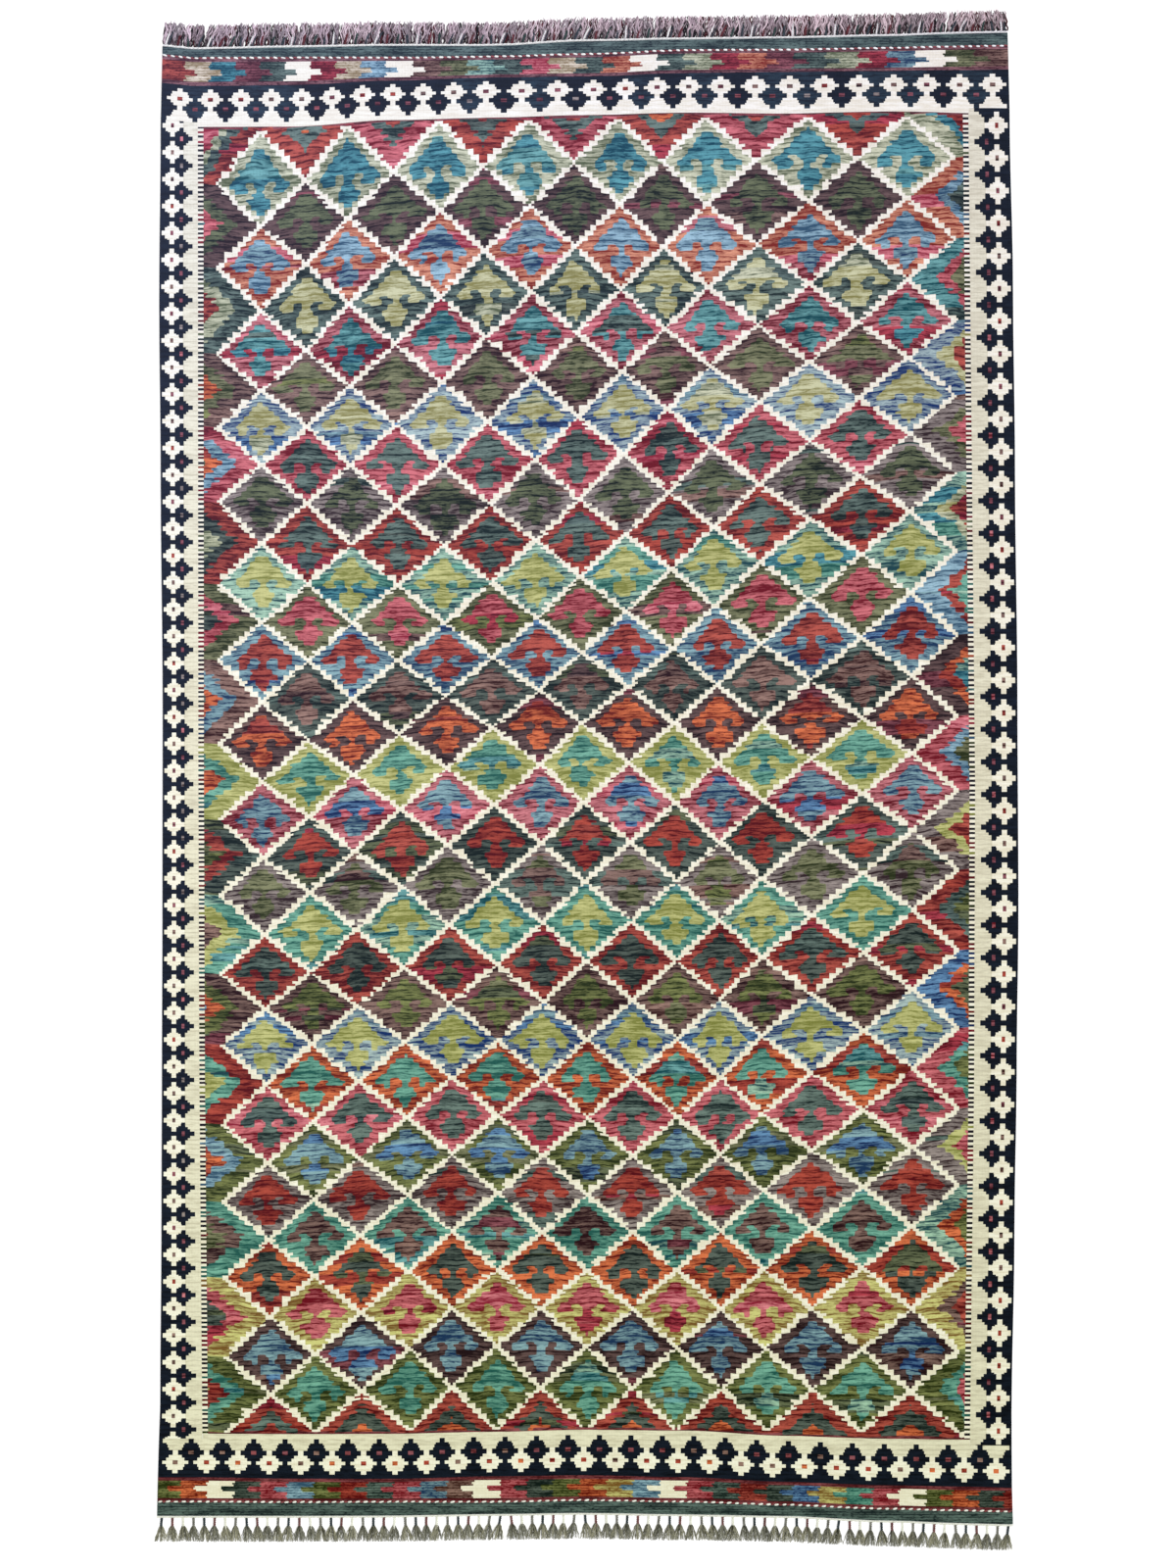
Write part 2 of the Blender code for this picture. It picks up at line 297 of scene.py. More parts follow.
# Blocks of the two medley bands, from the left.  MEDLEY_STATIONS says where some blocks begin; the
# others are spaced evenly between them.
MEDLEY_YARNS = {
    End.TOP: (
        Y.RED, Y.SAND, Y.TEAL_BLUE, Y.MULBERRY, Y.SLATE_GREEN, Y.CREAM, Y.CARMINE, Y.SAND, Y.SKY,
        Y.CREAM, Y.BROWN, Y.MOSS, Y.PALE_TEAL, Y.SLATE_GREEN, Y.PINK, Y.SAND, Y.SLATE_GREEN,
        Y.CORAL, Y.CREAM, Y.SLATE_GREEN, Y.SAGE, Y.CARMINE, Y.CORAL, Y.MULBERRY, Y.SLATE_GREEN,
        Y.SAGE, Y.CARMINE, Y.SLATE_BLUE, Y.CREAM, Y.MOSS, Y.BROWN,
    ),
    End.BOTTOM: (
        Y.OLIVE, Y.ORANGE, Y.CREAM, Y.DARK_SLATE, Y.ROSE, Y.SKY, Y.OLIVE, Y.CRIMSON,
        Y.SLATE_GREEN, Y.ROSE, Y.SLATE_BLUE, Y.BROWN, Y.CREAM, Y.ROSE, Y.DARK_SLATE, Y.OLIVE,
        Y.ORANGE, Y.MUSTARD, Y.SKY, Y.CREAM, Y.ROSE, Y.SLATE_GREEN, Y.RED, Y.DARK_SLATE, Y.BLUE,
        Y.MUSTARD, Y.SEA_GREEN, Y.ROSE, Y.CREAM, Y.OLIVE, Y.ORANGE, Y.DARK_SLATE, Y.RED,
    ),
}
MEDLEY_STATIONS = {
    End.TOP: table(
        FlowerStation,
        (0, -865), (9, -409), (21, 248), (24, 414), (25, 480), (26, 545), (28, 660), (30, 779),
        (31, 850),
    ),
    End.BOTTOM: table(
        FlowerStation,
        (0, -880), (1, -823), (31, 790), (33, 890),
    ),
}
MEDLEY_TONGUE = {End.TOP: 0.47, End.BOTTOM: -0.45}    # share of a block that its middle third slips


class FigureRow(NamedTuple):
    """Half of a diamond's figure at one step row: cells from its middle line.

    core is how far the figure reaches from the middle; the hook is a second run beside it.
    """

    step: float
    core: float
    hook_from: float = 0.0
    hook_to: float = 0.0


FIGURE_CHART = table(
    FigureRow,
    (-5.5, -1.0), (-5.0, 0.5), (-4.5, 1.5), (-4.0, 2.5), (-3.0, 4.3), (-2.0, 6.1), (-1.0, 8.0),
    (-0.41, 9.2), (-0.4, 2.8, 5.8, 9.8), (0.0, 1.8, 5.0, 10.2), (0.5, 1.1, 4.6, 9.9),
    (1.0, 0.8, 4.4, 8.8), (1.3, 0.9, 4.8, 7.6), (1.31, 1.0), (1.5, 1.6), (2.0, 3.2), (2.5, 4.3),
    (3.0, 4.4), (3.5, 3.8), (4.0, 3.0), (4.5, 2.1), (5.0, 1.2), (5.4, 0.4), (5.6, -1.0),
)
# The yarns of a like dyeing that a weaver takes up for a few wefts in place of the first.
SISTER_YARNS = {
    Y.RED: (Y.CRIMSON, Y.CARMINE), Y.CRIMSON: (Y.CARMINE, Y.RED), Y.ROSE: (Y.CARMINE, Y.PINK),
    Y.ORANGE: (Y.RED, Y.CRIMSON), Y.DUSTY_ROSE: (Y.CARMINE, Y.PINK), Y.PINK: (Y.ROSE, Y.CARMINE),
    Y.SLATE_GREEN: (Y.DARK_SLATE, Y.SKIRT), Y.DARK_SLATE: (Y.SLATE_GREEN, Y.DEEP_GREEN),
    Y.SLATE_BLUE: (Y.BLUE,), Y.SKY: (Y.SLATE_BLUE,), Y.PALE_BLUE: (Y.BLUE, Y.SLATE_BLUE),
    Y.TEAL_BLUE: (Y.DEEP_TEAL,), Y.DEEP_TEAL: (Y.TEAL_BLUE, Y.SLATE_GREEN),
    Y.SEA_GREEN: (Y.DEEP_TEAL, Y.PALE_TEAL), Y.PALE_TEAL: (Y.SEA_GREEN, Y.TEAL_BLUE),
    Y.MOSS: (Y.OLIVE, Y.PLUM_BROWN), Y.OLIVE: (Y.MOSS, Y.DEEP_GREEN), Y.STRAW: (Y.SAGE,),
    Y.MAUVE_GREY: (Y.BROWN, Y.SLATE_GREEN), Y.BROWN: (Y.PLUM_BROWN, Y.PLUM),
    Y.PLUM_BROWN: (Y.BROWN, Y.MULBERRY), Y.PLUM: (Y.PLUM_BROWN, Y.MULBERRY),
    Y.CORAL: (Y.PINK, Y.DUSTY_ROSE),
}
HALF_CELLS = 16              # cells between two columns of the lattice
STEP_ROWS = 16               # step rows between two rows of diamonds
CELL_REACH = 14              # cells from a diamond's middle to its tip
FIGURE_ROWS = 7.5            # step rows from a whole diamond's middle to its last wefts
BAND_PITCH = 9.94 * MM       # one step row, as the shader's wefts count it


class FlowerRow(NamedTuple):
    """One row of the flower border, from its outer edge inwards.

    deep is in mm; cream is how many cells of twenty-four are cream; dot names the flower, cream or
    navy, whose middle dot crosses the row.
    """

    deep: float
    cream: int
    dot: Yarn | None = None


FLOWER_CELLS = 24            # cells across one flower
DOT_CELLS = 2.0              # from a flower's middle to the edge of its dot
PICKS = 200                  # yarns drawn for a run of flowers
SIDE_FLOWER_CHART = table(
    FlowerRow,
    (4.1, 0), (6.7, 4), (4.8, 10), (4.8, 12), (1.6, 20), (6.4, 20, Y.CREAM), (1.6, 20), (4.3, 12),
    (5.3, 10), (1.2, 6), (0.8, 4), (6.2, 4, Y.NAVY), (1.4, 4), (5.3, 12), (4.8, 16), (9.1, 20),
    (10.8, 24),
)
END_FLOWER_CHART = table(
    FlowerRow,
    (7.2, 0), (6.0, 4), (5.2, 12), (4.2, 14), (0.8, 14, Y.CREAM), (5.6, 20, Y.CREAM),
    (0.8, 14, Y.CREAM), (4.4, 14), (4.8, 10), (1.6, 4), (6.4, 4, Y.NAVY), (0.8, 4), (4.4, 10),
    (5.2, 12), (3.0, 14), (7.4, 20), (8.6, 24),
)
CORNER_SHARE = 0.886         # share of an end border's depth that runs on to the selvedge
UNEVEN = (0.85, 1.1)         # a stitch or neck is made between these shares of its size
NECK_TAPER = ((0.0, 0.7, 1.0), (1.0, 1.0, 0.35))         # places along a strand, then its thickness there
FLEECE_TAPER = ((0.0, 0.6, 1.0), (0.9, 1.0, 0.4))
PAD_TAPER = ((0.0, 0.35, 0.75, 1.0), (0.75, 1.0, 0.95, 0.5))
CREAM_DOTS, NAVY_DOTS, NAVY_GROUND = 1, 2, 3             # what a border draws yarns for


def linear(value: np.ndarray) -> np.ndarray:
    """Turn display values from 0 to 1 into light."""
    value = np.asarray(value, dtype=float)
    return np.where(value <= 0.04045, value / 12.92, ((value + 0.055) / 1.055) ** 2.4)


PALETTE = list(Yarn)
DARK_DYE = np.array([linear(np.array(yarn.value[0]) / 255.0) for yarn in PALETTE])
LIGHT_DYE = np.array([linear(np.array(yarn.value[1]) / 255.0) for yarn in PALETTE])
PLAIN_SHADE = 0.64           # how light the yarn runs where nothing changes it
ROW_SHADE = 0.06             # and how far one row of wefts differs from the next
YARN_CODE = {yarn: code for code, yarn in enumerate(PALETTE)}


def eased(places: list, values: list, at: np.ndarray) -> np.ndarray:
    """Read a short table at many places, easing smoothly between its rows.

    Args:
        places: the table's places, rising.
        values: its values.
        at: where to read it.

    Returns:
        One value for each place in at.
    """
    places, values = np.asarray(places, dtype=float), np.asarray(values, dtype=float)
    at = np.clip(np.asarray(at, dtype=float), places[0], places[-1])
    upper = np.clip(np.searchsorted(places, at), 1, len(places) - 1)
    share = (at - places[upper - 1]) / (places[upper] - places[upper - 1])
    share = share * share * (3.0 - 2.0 * share)
    return values[upper - 1] + share * (values[upper] - values[upper - 1])


def between(lines: list, y: np.ndarray) -> np.ndarray:
    """Read columns given at the places of COLUMN_PLACES at any place along the rug.

    Args:
        lines: one x, or grid of x, for each place.
        y: along the rug.

    Returns:
        x for each point.
    """
    places = [place * MM for place in COLUMN_PLACES.values()]
    result = np.zeros(np.shape(y)) + lines[0]
    for above, below, high, low in zip(lines, lines[1:], places, places[1:]):
        share = (high - y) / (high - low)
        least = -PAST_PLACES if high == places[0] else 0.0
        most = 1.0 + PAST_PLACES if low == places[-1] else 1.0
        share = np.clip(share, least, most)
        result = result + share * (below - above)
    return result


@dataclass
class PaintedLightAndTone:
    """How the rug's colours shift from its upper to its lower end: painted light, brighter at the upper
    left, and a painted veil of light over the darks there.
    """

    # painted light: gains that make the upper left brighter and cooler and the lower end darker and warmer
    gain_top_left: tuple = (1.06, 1.08, 1.28)
    gain_top_right: tuple = (0.94, 0.92, 1.00)
    gain_mid_left: tuple = (1.03, 1.03, 1.06)
    gain_mid_right: tuple = (0.957, 0.948, 0.971)
    gain_low_left: tuple = (0.903, 0.929, 0.834)
    gain_low_right: tuple = (0.868, 0.893, 0.807)
    # painted veil of light: added over the colours, strongest at the upper left
    painted_veil: tuple = (0.021, 0.0255, 0.046)
    painted_veil_fade: float = 0.55
    pale_cool: tuple = (1.0, 1.01, 1.10)      # paler yarns cooler near the upper end: partly painted light, partly less yellowed wool
    pale_from: float = 0.35
    pale_fade: float = 2.2

    def dress(self, light: np.ndarray, x: np.ndarray, y: np.ndarray) -> np.ndarray:
        """Shift yarn colours by where they lie: a painted light gradient, a painted veil of light, and the
        pale wool's own colour.

        Args:
            light: linear colours, one row each.
            x: across the rug.
            y: along the rug.

        Returns:
            The shifted linear colours.
        """
        down = np.clip(0.5 - y / RUG_LONG, 0.0, 1.0)[:, None]
        over = np.clip(0.5 + x / RUG_WIDE, 0.0, 1.0)[:, None]
        upper, lower = np.clip(2.0 * down, 0, 1), np.clip(2.0 * down - 1.0, 0, 1)

        def side(top: tuple, middle: tuple, low: tuple) -> np.ndarray:
            """Gain along one side of the rug."""
            top, middle, low = np.array(top), np.array(middle), np.array(low)
            return top + upper * (middle - top) + lower * (low - middle)

        left = side(self.gain_top_left, self.gain_mid_left, self.gain_low_left)
        right = side(self.gain_top_right, self.gain_mid_right, self.gain_low_right)
        gain = left + over * (right - left)
        pale = light.min(axis=1, keepdims=True) > self.pale_from
        pale = pale * np.clip(1.0 - self.pale_fade * down, 0.0, 1.0)
        gain = gain * (1.0 + pale * (np.array(self.pale_cool) - 1.0))
        # painted veil of light, fading downwards and to the right
        painted_veil = np.array(self.painted_veil) * (1.0 - down) * (1.0 - self.painted_veil_fade * over)
        return np.clip(light * gain + painted_veil, 0.0, 1.0)


@dataclass
class Ground:
    """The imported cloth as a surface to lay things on: its edges, ends and top face."""

    probe_high: float = 0.05
    probe_out: tuple = (1.2, 2.0)        # across and along, outside the cloth
    half_thick: float = 1.5 * MM
    thick: float = 3.0 * MM
    lift_seen: float = 0.1 * MM
    crease_margin: tuple = (0.02, 0.09)  # across and along, round the raised crease
    stations: int = 240
    inset: float = 24.0 * MM
    shy: float = 3.0 * MM
    corner_lift: float = 5.5 * MM        # the upper left corner is drawn up a little
    corner_from: float = -0.800
    corner_span: float = 0.060
    tree: BVHTree = field(init=False)
    raised_low: tuple = field(init=False)
    raised_high: tuple = field(init=False)
    across: np.ndarray = field(init=False)
    top: np.ndarray = field(init=False)
    bottom: np.ndarray = field(init=False)
    along: dict = field(init=False)
    edges: dict = field(init=False)

    def __post_init__(self) -> None:
        """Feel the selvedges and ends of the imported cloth."""
        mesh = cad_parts[CLOTH_NODE].data
        points = [vertex.co.copy() for vertex in mesh.vertices]
        self.tree = BVHTree.FromPolygons(points, [tuple(p.vertices) for p in mesh.polygons])
        low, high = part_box(CLOTH_NODE)
        raised = [point for point in points if point.z > self.thick + self.lift_seen]
        aside, beyond = self.crease_margin
        self.raised_low = (min(p.x for p in raised) - aside, min(p.y for p in raised) - beyond)
        self.raised_high = (max(p.x for p in raised) + aside, max(p.y for p in raised) + beyond)
        self.across = np.linspace(low[0] + self.inset, high[0] - self.inset, self.stations)
        out_across, out_along = self.probe_out
        self.top = np.array([self._feel((x, out_along), (0.0, -1.0))[1] for x in self.across])
        self.bottom = np.array([self._feel((x, -out_along), (0.0, 1.0))[1] for x in self.across])
        self.along, self.edges = {}, {}
        for side, at in ((Side.LEFT, 0), (Side.RIGHT, -1)):
            y_line = np.linspace(self.bottom[at] + self.shy, self.top[at] - self.shy, self.stations)
            start, way = out_across * side.value, (-side.value, 0.0)
            self.along[side] = y_line
            self.edges[side] = np.array([self._feel((start, y), way)[0] for y in y_line])

    def _feel(self, start: tuple, way: tuple) -> Vector:
        """Find the cloth's edge from outside it."""
        place = Vector((start[0], start[1], self.half_thick))
        return self.tree.ray_cast(place, Vector((way[0], way[1], 0.0)))[0]

    def selvedge(self, side: Side, y: np.ndarray) -> np.ndarray:
        """The x of a selvedge at each y."""
        return np.interp(y, self.along[side], self.edges[side])

    def end(self, end: End, x: np.ndarray) -> np.ndarray:
        """The y of an end of the cloth at each x."""
        if end is End.BOTTOM:
            return np.interp(x, self.across, self.bottom)
        lift = np.clip((self.corner_from - x) / self.corner_span, 0.0, 1.0)
        return np.interp(x, self.across, self.top) + self.corner_lift * lift

    def line(self, end: End, name: str, x: np.ndarray) -> np.ndarray:
        """The y of one of the woven lines near an end.

        Args:
            end: which end.
            name: a column of EndBands.
            x: places across the rug.

        Returns:
            One y for each x.
        """
        rows = END_BANDS[end]
        inward = eased([row.across * MM for row in rows],
                       [getattr(row, name) * MM for row in rows], x)
        return self.end(end, x) - end.value * inward

    def height(self, x: np.ndarray, y: np.ndarray) -> np.ndarray:
        """The height of the cloth's top face.

        Args:
            x: across the rug.
            y: along the rug.

        Returns:
            One z for each point.
        """
        z = np.full(x.shape, self.thick)
        near = ((x > self.raised_low[0]) & (x < self.raised_high[0])
                & (y > self.raised_low[1]) & (y < self.raised_high[1]))
        for index in np.flatnonzero(near):
            above = Vector((x[index], y[index], self.probe_high))
            hit = self.tree.ray_cast(above, Vector((0, 0, -1)))[0]
            if hit is not None:
                z[index] = hit.z
        return z


@dataclass
class Cockle:
    """The slight unevenness of a hand-woven cloth lying flat."""

    waves: int = 14
    high: float = 0.16 * MM
    short: float = 0.07
    long: float = 0.38
    kx: np.ndarray = field(init=False)
    ky: np.ndarray = field(init=False)
    phase: np.ndarray = field(init=False)

    def __post_init__(self) -> None:
        """Choose the waves."""
        luck = np.random.default_rng(SEED)
        turn = luck.uniform(0.0, 2.0 * math.pi, self.waves)
        size = luck.uniform(self.short, self.long, self.waves)
        self.kx = 2.0 * math.pi * np.cos(turn) / size
        self.ky = 2.0 * math.pi * np.sin(turn) / size
        self.phase = luck.uniform(0.0, 2.0 * math.pi, self.waves)

    def lift(self, x: np.ndarray, y: np.ndarray) -> np.ndarray:
        """Height of the unevenness at each point."""
        total = np.zeros(x.shape)
        for kx, ky, phase in zip(self.kx, self.ky, self.phase):
            total += np.sin(kx * x + ky * y + phase)
        return self.high * total / math.sqrt(self.waves)


@dataclass(frozen=True)
class WoolFinish:
    """Spun wool: streaky dye, dark weft lines partly of painted shade, ribs of the warps, picks of the
    wefts and a dry, faintly downy face.
    """

    name: str
    cloud_long: float = 14.0         # soft changes of dye: to the metre across the rug
    cloud_fine: float = 75.0         # and along it
    cloud_strong: float = 2.0
    cloud_detail: float = 3.0
    band_pitch: float = BAND_PITCH
    band_drift: float = 0.5          # how far the painted shade line between two bands wanders, in bands
    drift_scale: tuple = (30.0, 60.0)
    line_span: tuple = (0.50, 0.97)
    shade_line_strong: float = 0.72
    gate_scale: tuple = (26.0, 110.0)        # where the painted shade line shows and where it fades out
    gate_span: tuple = (0.34, 0.58)
    # fine dark streaks along single wefts: partly painted shade, partly streaky dye
    streak_long: float = 46.0
    streak_fine: float = 330.0
    streak_span: tuple = (0.50, 0.66)
    streak_strong: float = 0.48
    detail: float = 2.0
    grain: float = 0.62
    noise_slip: tuple = (0.37, 0.11)         # keeps two noises of one scale apart
    rib_pitch: float = 2.9 * MM
    pick_pitch: float = 1.15 * MM
    pick_share: float = 0.6
    rib_deep: float = 0.35 * MM
    bump_strength: float = 0.6
    roughness: float = 0.93
    specular: float = 0.04
    sheen: float = 0.02
    sheen_roughness: float = 0.6

    def make(self) -> bpy.types.Material:
        """Build the node material.

        Returns:
            The new material.
        """
        finish = bpy.data.materials.new(self.name)
        finish.use_nodes = True
        tree = finish.node_tree
        shader = tree.nodes["Principled BSDF"]
        shader.inputs["Roughness"].default_value = self.roughness
        shader.inputs["Specular IOR Level"].default_value = self.specular
        shader.inputs["Sheen Weight"].default_value = self.sheen
        shader.inputs["Sheen Roughness"].default_value = self.sheen_roughness
        dark = tree.nodes.new("ShaderNodeVertexColor")
        dark.layer_name = DARK_LAYER
        light = tree.nodes.new("ShaderNodeVertexColor")
        light.layer_name = LIGHT_LAYER
        weave = tree.nodes.new("ShaderNodeUVMap")
        weave.uv_map = WEAVE_LAYER
        cloud = self._noise(tree, weave, self.cloud_long, self.cloud_fine, self.cloud_detail)
        swing = self._math(tree, "MULTIPLY", self._math(tree, "SUBTRACT", cloud, 0.5),
                           self.cloud_strong)
        share = self._math(tree, "ADD", swing, dark.outputs["Alpha"])
        # the dark lines, partly painted shade, darken the yarn
        for line in self._shade_and_dye_lines(tree, weave):
            share = self._math(tree, "SUBTRACT", share, line)
        share = self._clamp(tree, share)
        dye = tree.nodes.new("ShaderNodeMix")
        dye.data_type = "RGBA"
        sockets = {socket.identifier: socket for socket in (*dye.inputs, *dye.outputs)}
        tree.links.new(share, sockets["Factor_Float"])
        tree.links.new(dark.outputs["Color"], sockets["A_Color"])
        tree.links.new(light.outputs["Color"], sockets["B_Color"])
        tree.links.new(sockets["Result_Color"], shader.inputs["Base Color"])
        self._relief(tree, weave, shader)
        return finish

    def _shade_and_dye_lines(self, tree: bpy.types.NodeTree, weave: bpy.types.Node) -> list:
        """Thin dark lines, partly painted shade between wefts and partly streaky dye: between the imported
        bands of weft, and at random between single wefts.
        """
        split = tree.nodes.new("ShaderNodeSeparateXYZ")
        tree.links.new(weave.outputs["UV"], split.inputs[0])
        drift = self._noise(tree, weave, *self.drift_scale, self.detail)
        count = self._math(tree, "ADD",
                           self._math(tree, "DIVIDE", split.outputs["Y"], self.band_pitch),
                           self._math(tree, "MULTIPLY", drift, self.band_drift))
        part = self._math(tree, "FRACT", count)
        off = self._math(tree, "ABSOLUTE", self._math(tree, "SUBTRACT", part, 0.5))
        edge = self._ramp(tree, self._math(tree, "MULTIPLY", off, 2.0), *self.line_span)
        gate = self._ramp(tree, self._noise(tree, weave, *self.gate_scale, self.detail), *self.gate_span)
        bands = self._math(tree, "MULTIPLY", self._math(tree, "MULTIPLY", edge, gate),
                           self.shade_line_strong)
        streaks = self._noise(tree, weave, self.streak_long, self.streak_fine, self.detail)
        fine = self._ramp(tree, streaks, *self.streak_span)
        return [bands, self._math(tree, "MULTIPLY", fine, self.streak_strong)]

    def _ramp(self, tree: bpy.types.NodeTree, value: bpy.types.NodeSocket, low: float,
              high: float) -> bpy.types.NodeSocket:
        """Stretch the span from low to high over 0 to 1, smoothly."""
        ramp = tree.nodes.new("ShaderNodeMapRange")
        ramp.interpolation_type = "SMOOTHSTEP"
        ramp.inputs["From Min"].default_value = low
        ramp.inputs["From Max"].default_value = high
        tree.links.new(value, ramp.inputs["Value"])
        return ramp.outputs["Result"]

    def _noise(self, tree: bpy.types.NodeTree, weave: bpy.types.Node, across: float, along: float,
               detail: float) -> bpy.types.NodeSocket:
        """Noise drawn out along the wefts."""
        stretch = tree.nodes.new("ShaderNodeMapping")
        stretch.inputs["Scale"].default_value = (across, along, 1.0)
        stretch.inputs["Location"].default_value = (self.noise_slip[0] * along,
                                                    self.noise_slip[1] * across, 0.0)
        tree.links.new(weave.outputs["UV"], stretch.inputs["Vector"])
        noise = tree.nodes.new("ShaderNodeTexNoise")
        noise.noise_dimensions = "2D"
        noise.inputs["Scale"].default_value = 1.0
        noise.inputs["Detail"].default_value = detail
        noise.inputs["Roughness"].default_value = self.grain
        tree.links.new(stretch.outputs["Vector"], noise.inputs["Vector"])
        return noise.outputs["Fac"]

    def _math(self, tree: bpy.types.NodeTree, operation: str, first: object,
              second: object = 0.0) -> bpy.types.NodeSocket:
        """One arithmetic node; each input is a socket or a number."""
        node = tree.nodes.new("ShaderNodeMath")
        node.operation = operation
        for place, given in enumerate((first, second)):
            if isinstance(given, bpy.types.NodeSocket):
                tree.links.new(given, node.inputs[place])
            else:
                node.inputs[place].default_value = given
        return node.outputs[0]

    def _clamp(self, tree: bpy.types.NodeTree, value: bpy.types.NodeSocket) -> bpy.types.NodeSocket:
        """Keep a value between 0 and 1."""
        return self._math(tree, "MINIMUM", self._math(tree, "MAXIMUM", value, 0.0), 1.0)

    def _relief(self, tree: bpy.types.NodeTree, weave: bpy.types.Node,
                shader: bpy.types.Node) -> None:
        """Ribs over the warps and picks of the wefts, as a shallow bump."""
        split = tree.nodes.new("ShaderNodeSeparateXYZ")
        tree.links.new(weave.outputs["UV"], split.inputs[0])
        across = self._math(tree, "MULTIPLY", split.outputs["X"], 2.0 * math.pi / self.rib_pitch)
        along = self._math(tree, "MULTIPLY", split.outputs["Y"], 2.0 * math.pi / self.pick_pitch)
        rib = self._math(tree, "SINE", across)
        pick = self._math(tree, "SINE", along)
        woven = self._math(tree, "ADD", rib, self._math(tree, "MULTIPLY", pick, self.pick_share))
        bump = tree.nodes.new("ShaderNodeBump")
        bump.inputs["Strength"].default_value = self.bump_strength
        bump.inputs["Distance"].default_value = self.rib_deep
        tree.links.new(woven, bump.inputs["Height"])
        tree.links.new(bump.outputs["Normal"], shader.inputs["Normal"])


def plain_shade(codes: np.ndarray, luck: np.random.Generator) -> np.ndarray:
    """A shade for each cell that differs a little from row to row."""
    rows = luck.uniform(-ROW_SHADE, ROW_SHADE, (codes.shape[0], 1))
    return PLAIN_SHADE + np.zeros(codes.shape) + rows


class Part(NamedTuple):
    """A run of mesh: vertices, faces counted from its own first vertex, and what they carry.

    codes and shades have a value for each face; bake and weave have a place for each vertex.
    """

    points: np.ndarray
    faces: np.ndarray
    codes: np.ndarray
    shades: np.ndarray
    bake: np.ndarray
    weave: np.ndarray


class Patch(NamedTuple):
    """A grid of cloth: corner points, a yarn code and shade for each cell, and its place in the bake."""

    x: np.ndarray
    y: np.ndarray
    z: np.ndarray
    weave_y: np.ndarray
    codes: np.ndarray
    shade: np.ndarray
    bake: tuple = WHOLE_BAKE

    def part(self) -> Part:
        """Turn the grid into a part, without the cells that are pressed flat.

        Returns:
            The part.
        """
        rows, columns = self.x.shape
        index = np.arange(rows * columns).reshape(rows, columns)
        quads = np.stack((index[:-1, :-1], index[:-1, 1:], index[1:, 1:], index[1:, :-1]), axis=-1)
        quads = quads.reshape(-1, 4)
        points = np.stack((self.x, self.y, self.z), axis=-1).reshape(-1, 3)
        corners = points[quads]
        one, two = corners[:, 2] - corners[:, 0], corners[:, 3] - corners[:, 1]
        kept = np.abs(np.cross(one, two)).max(axis=1) > FLAT_FACE
        u_from, u_to, v_from, v_to = self.bake
        bake = np.meshgrid(np.linspace(u_from, u_to, columns), np.linspace(v_from, v_to, rows))
        return Part(points, quads[kept], self.codes.reshape(-1)[kept], self.shade.reshape(-1)[kept],
                    np.stack(bake, axis=-1).reshape(-1, 2),
                    np.stack((self.x, self.weave_y), axis=-1).reshape(-1, 2))


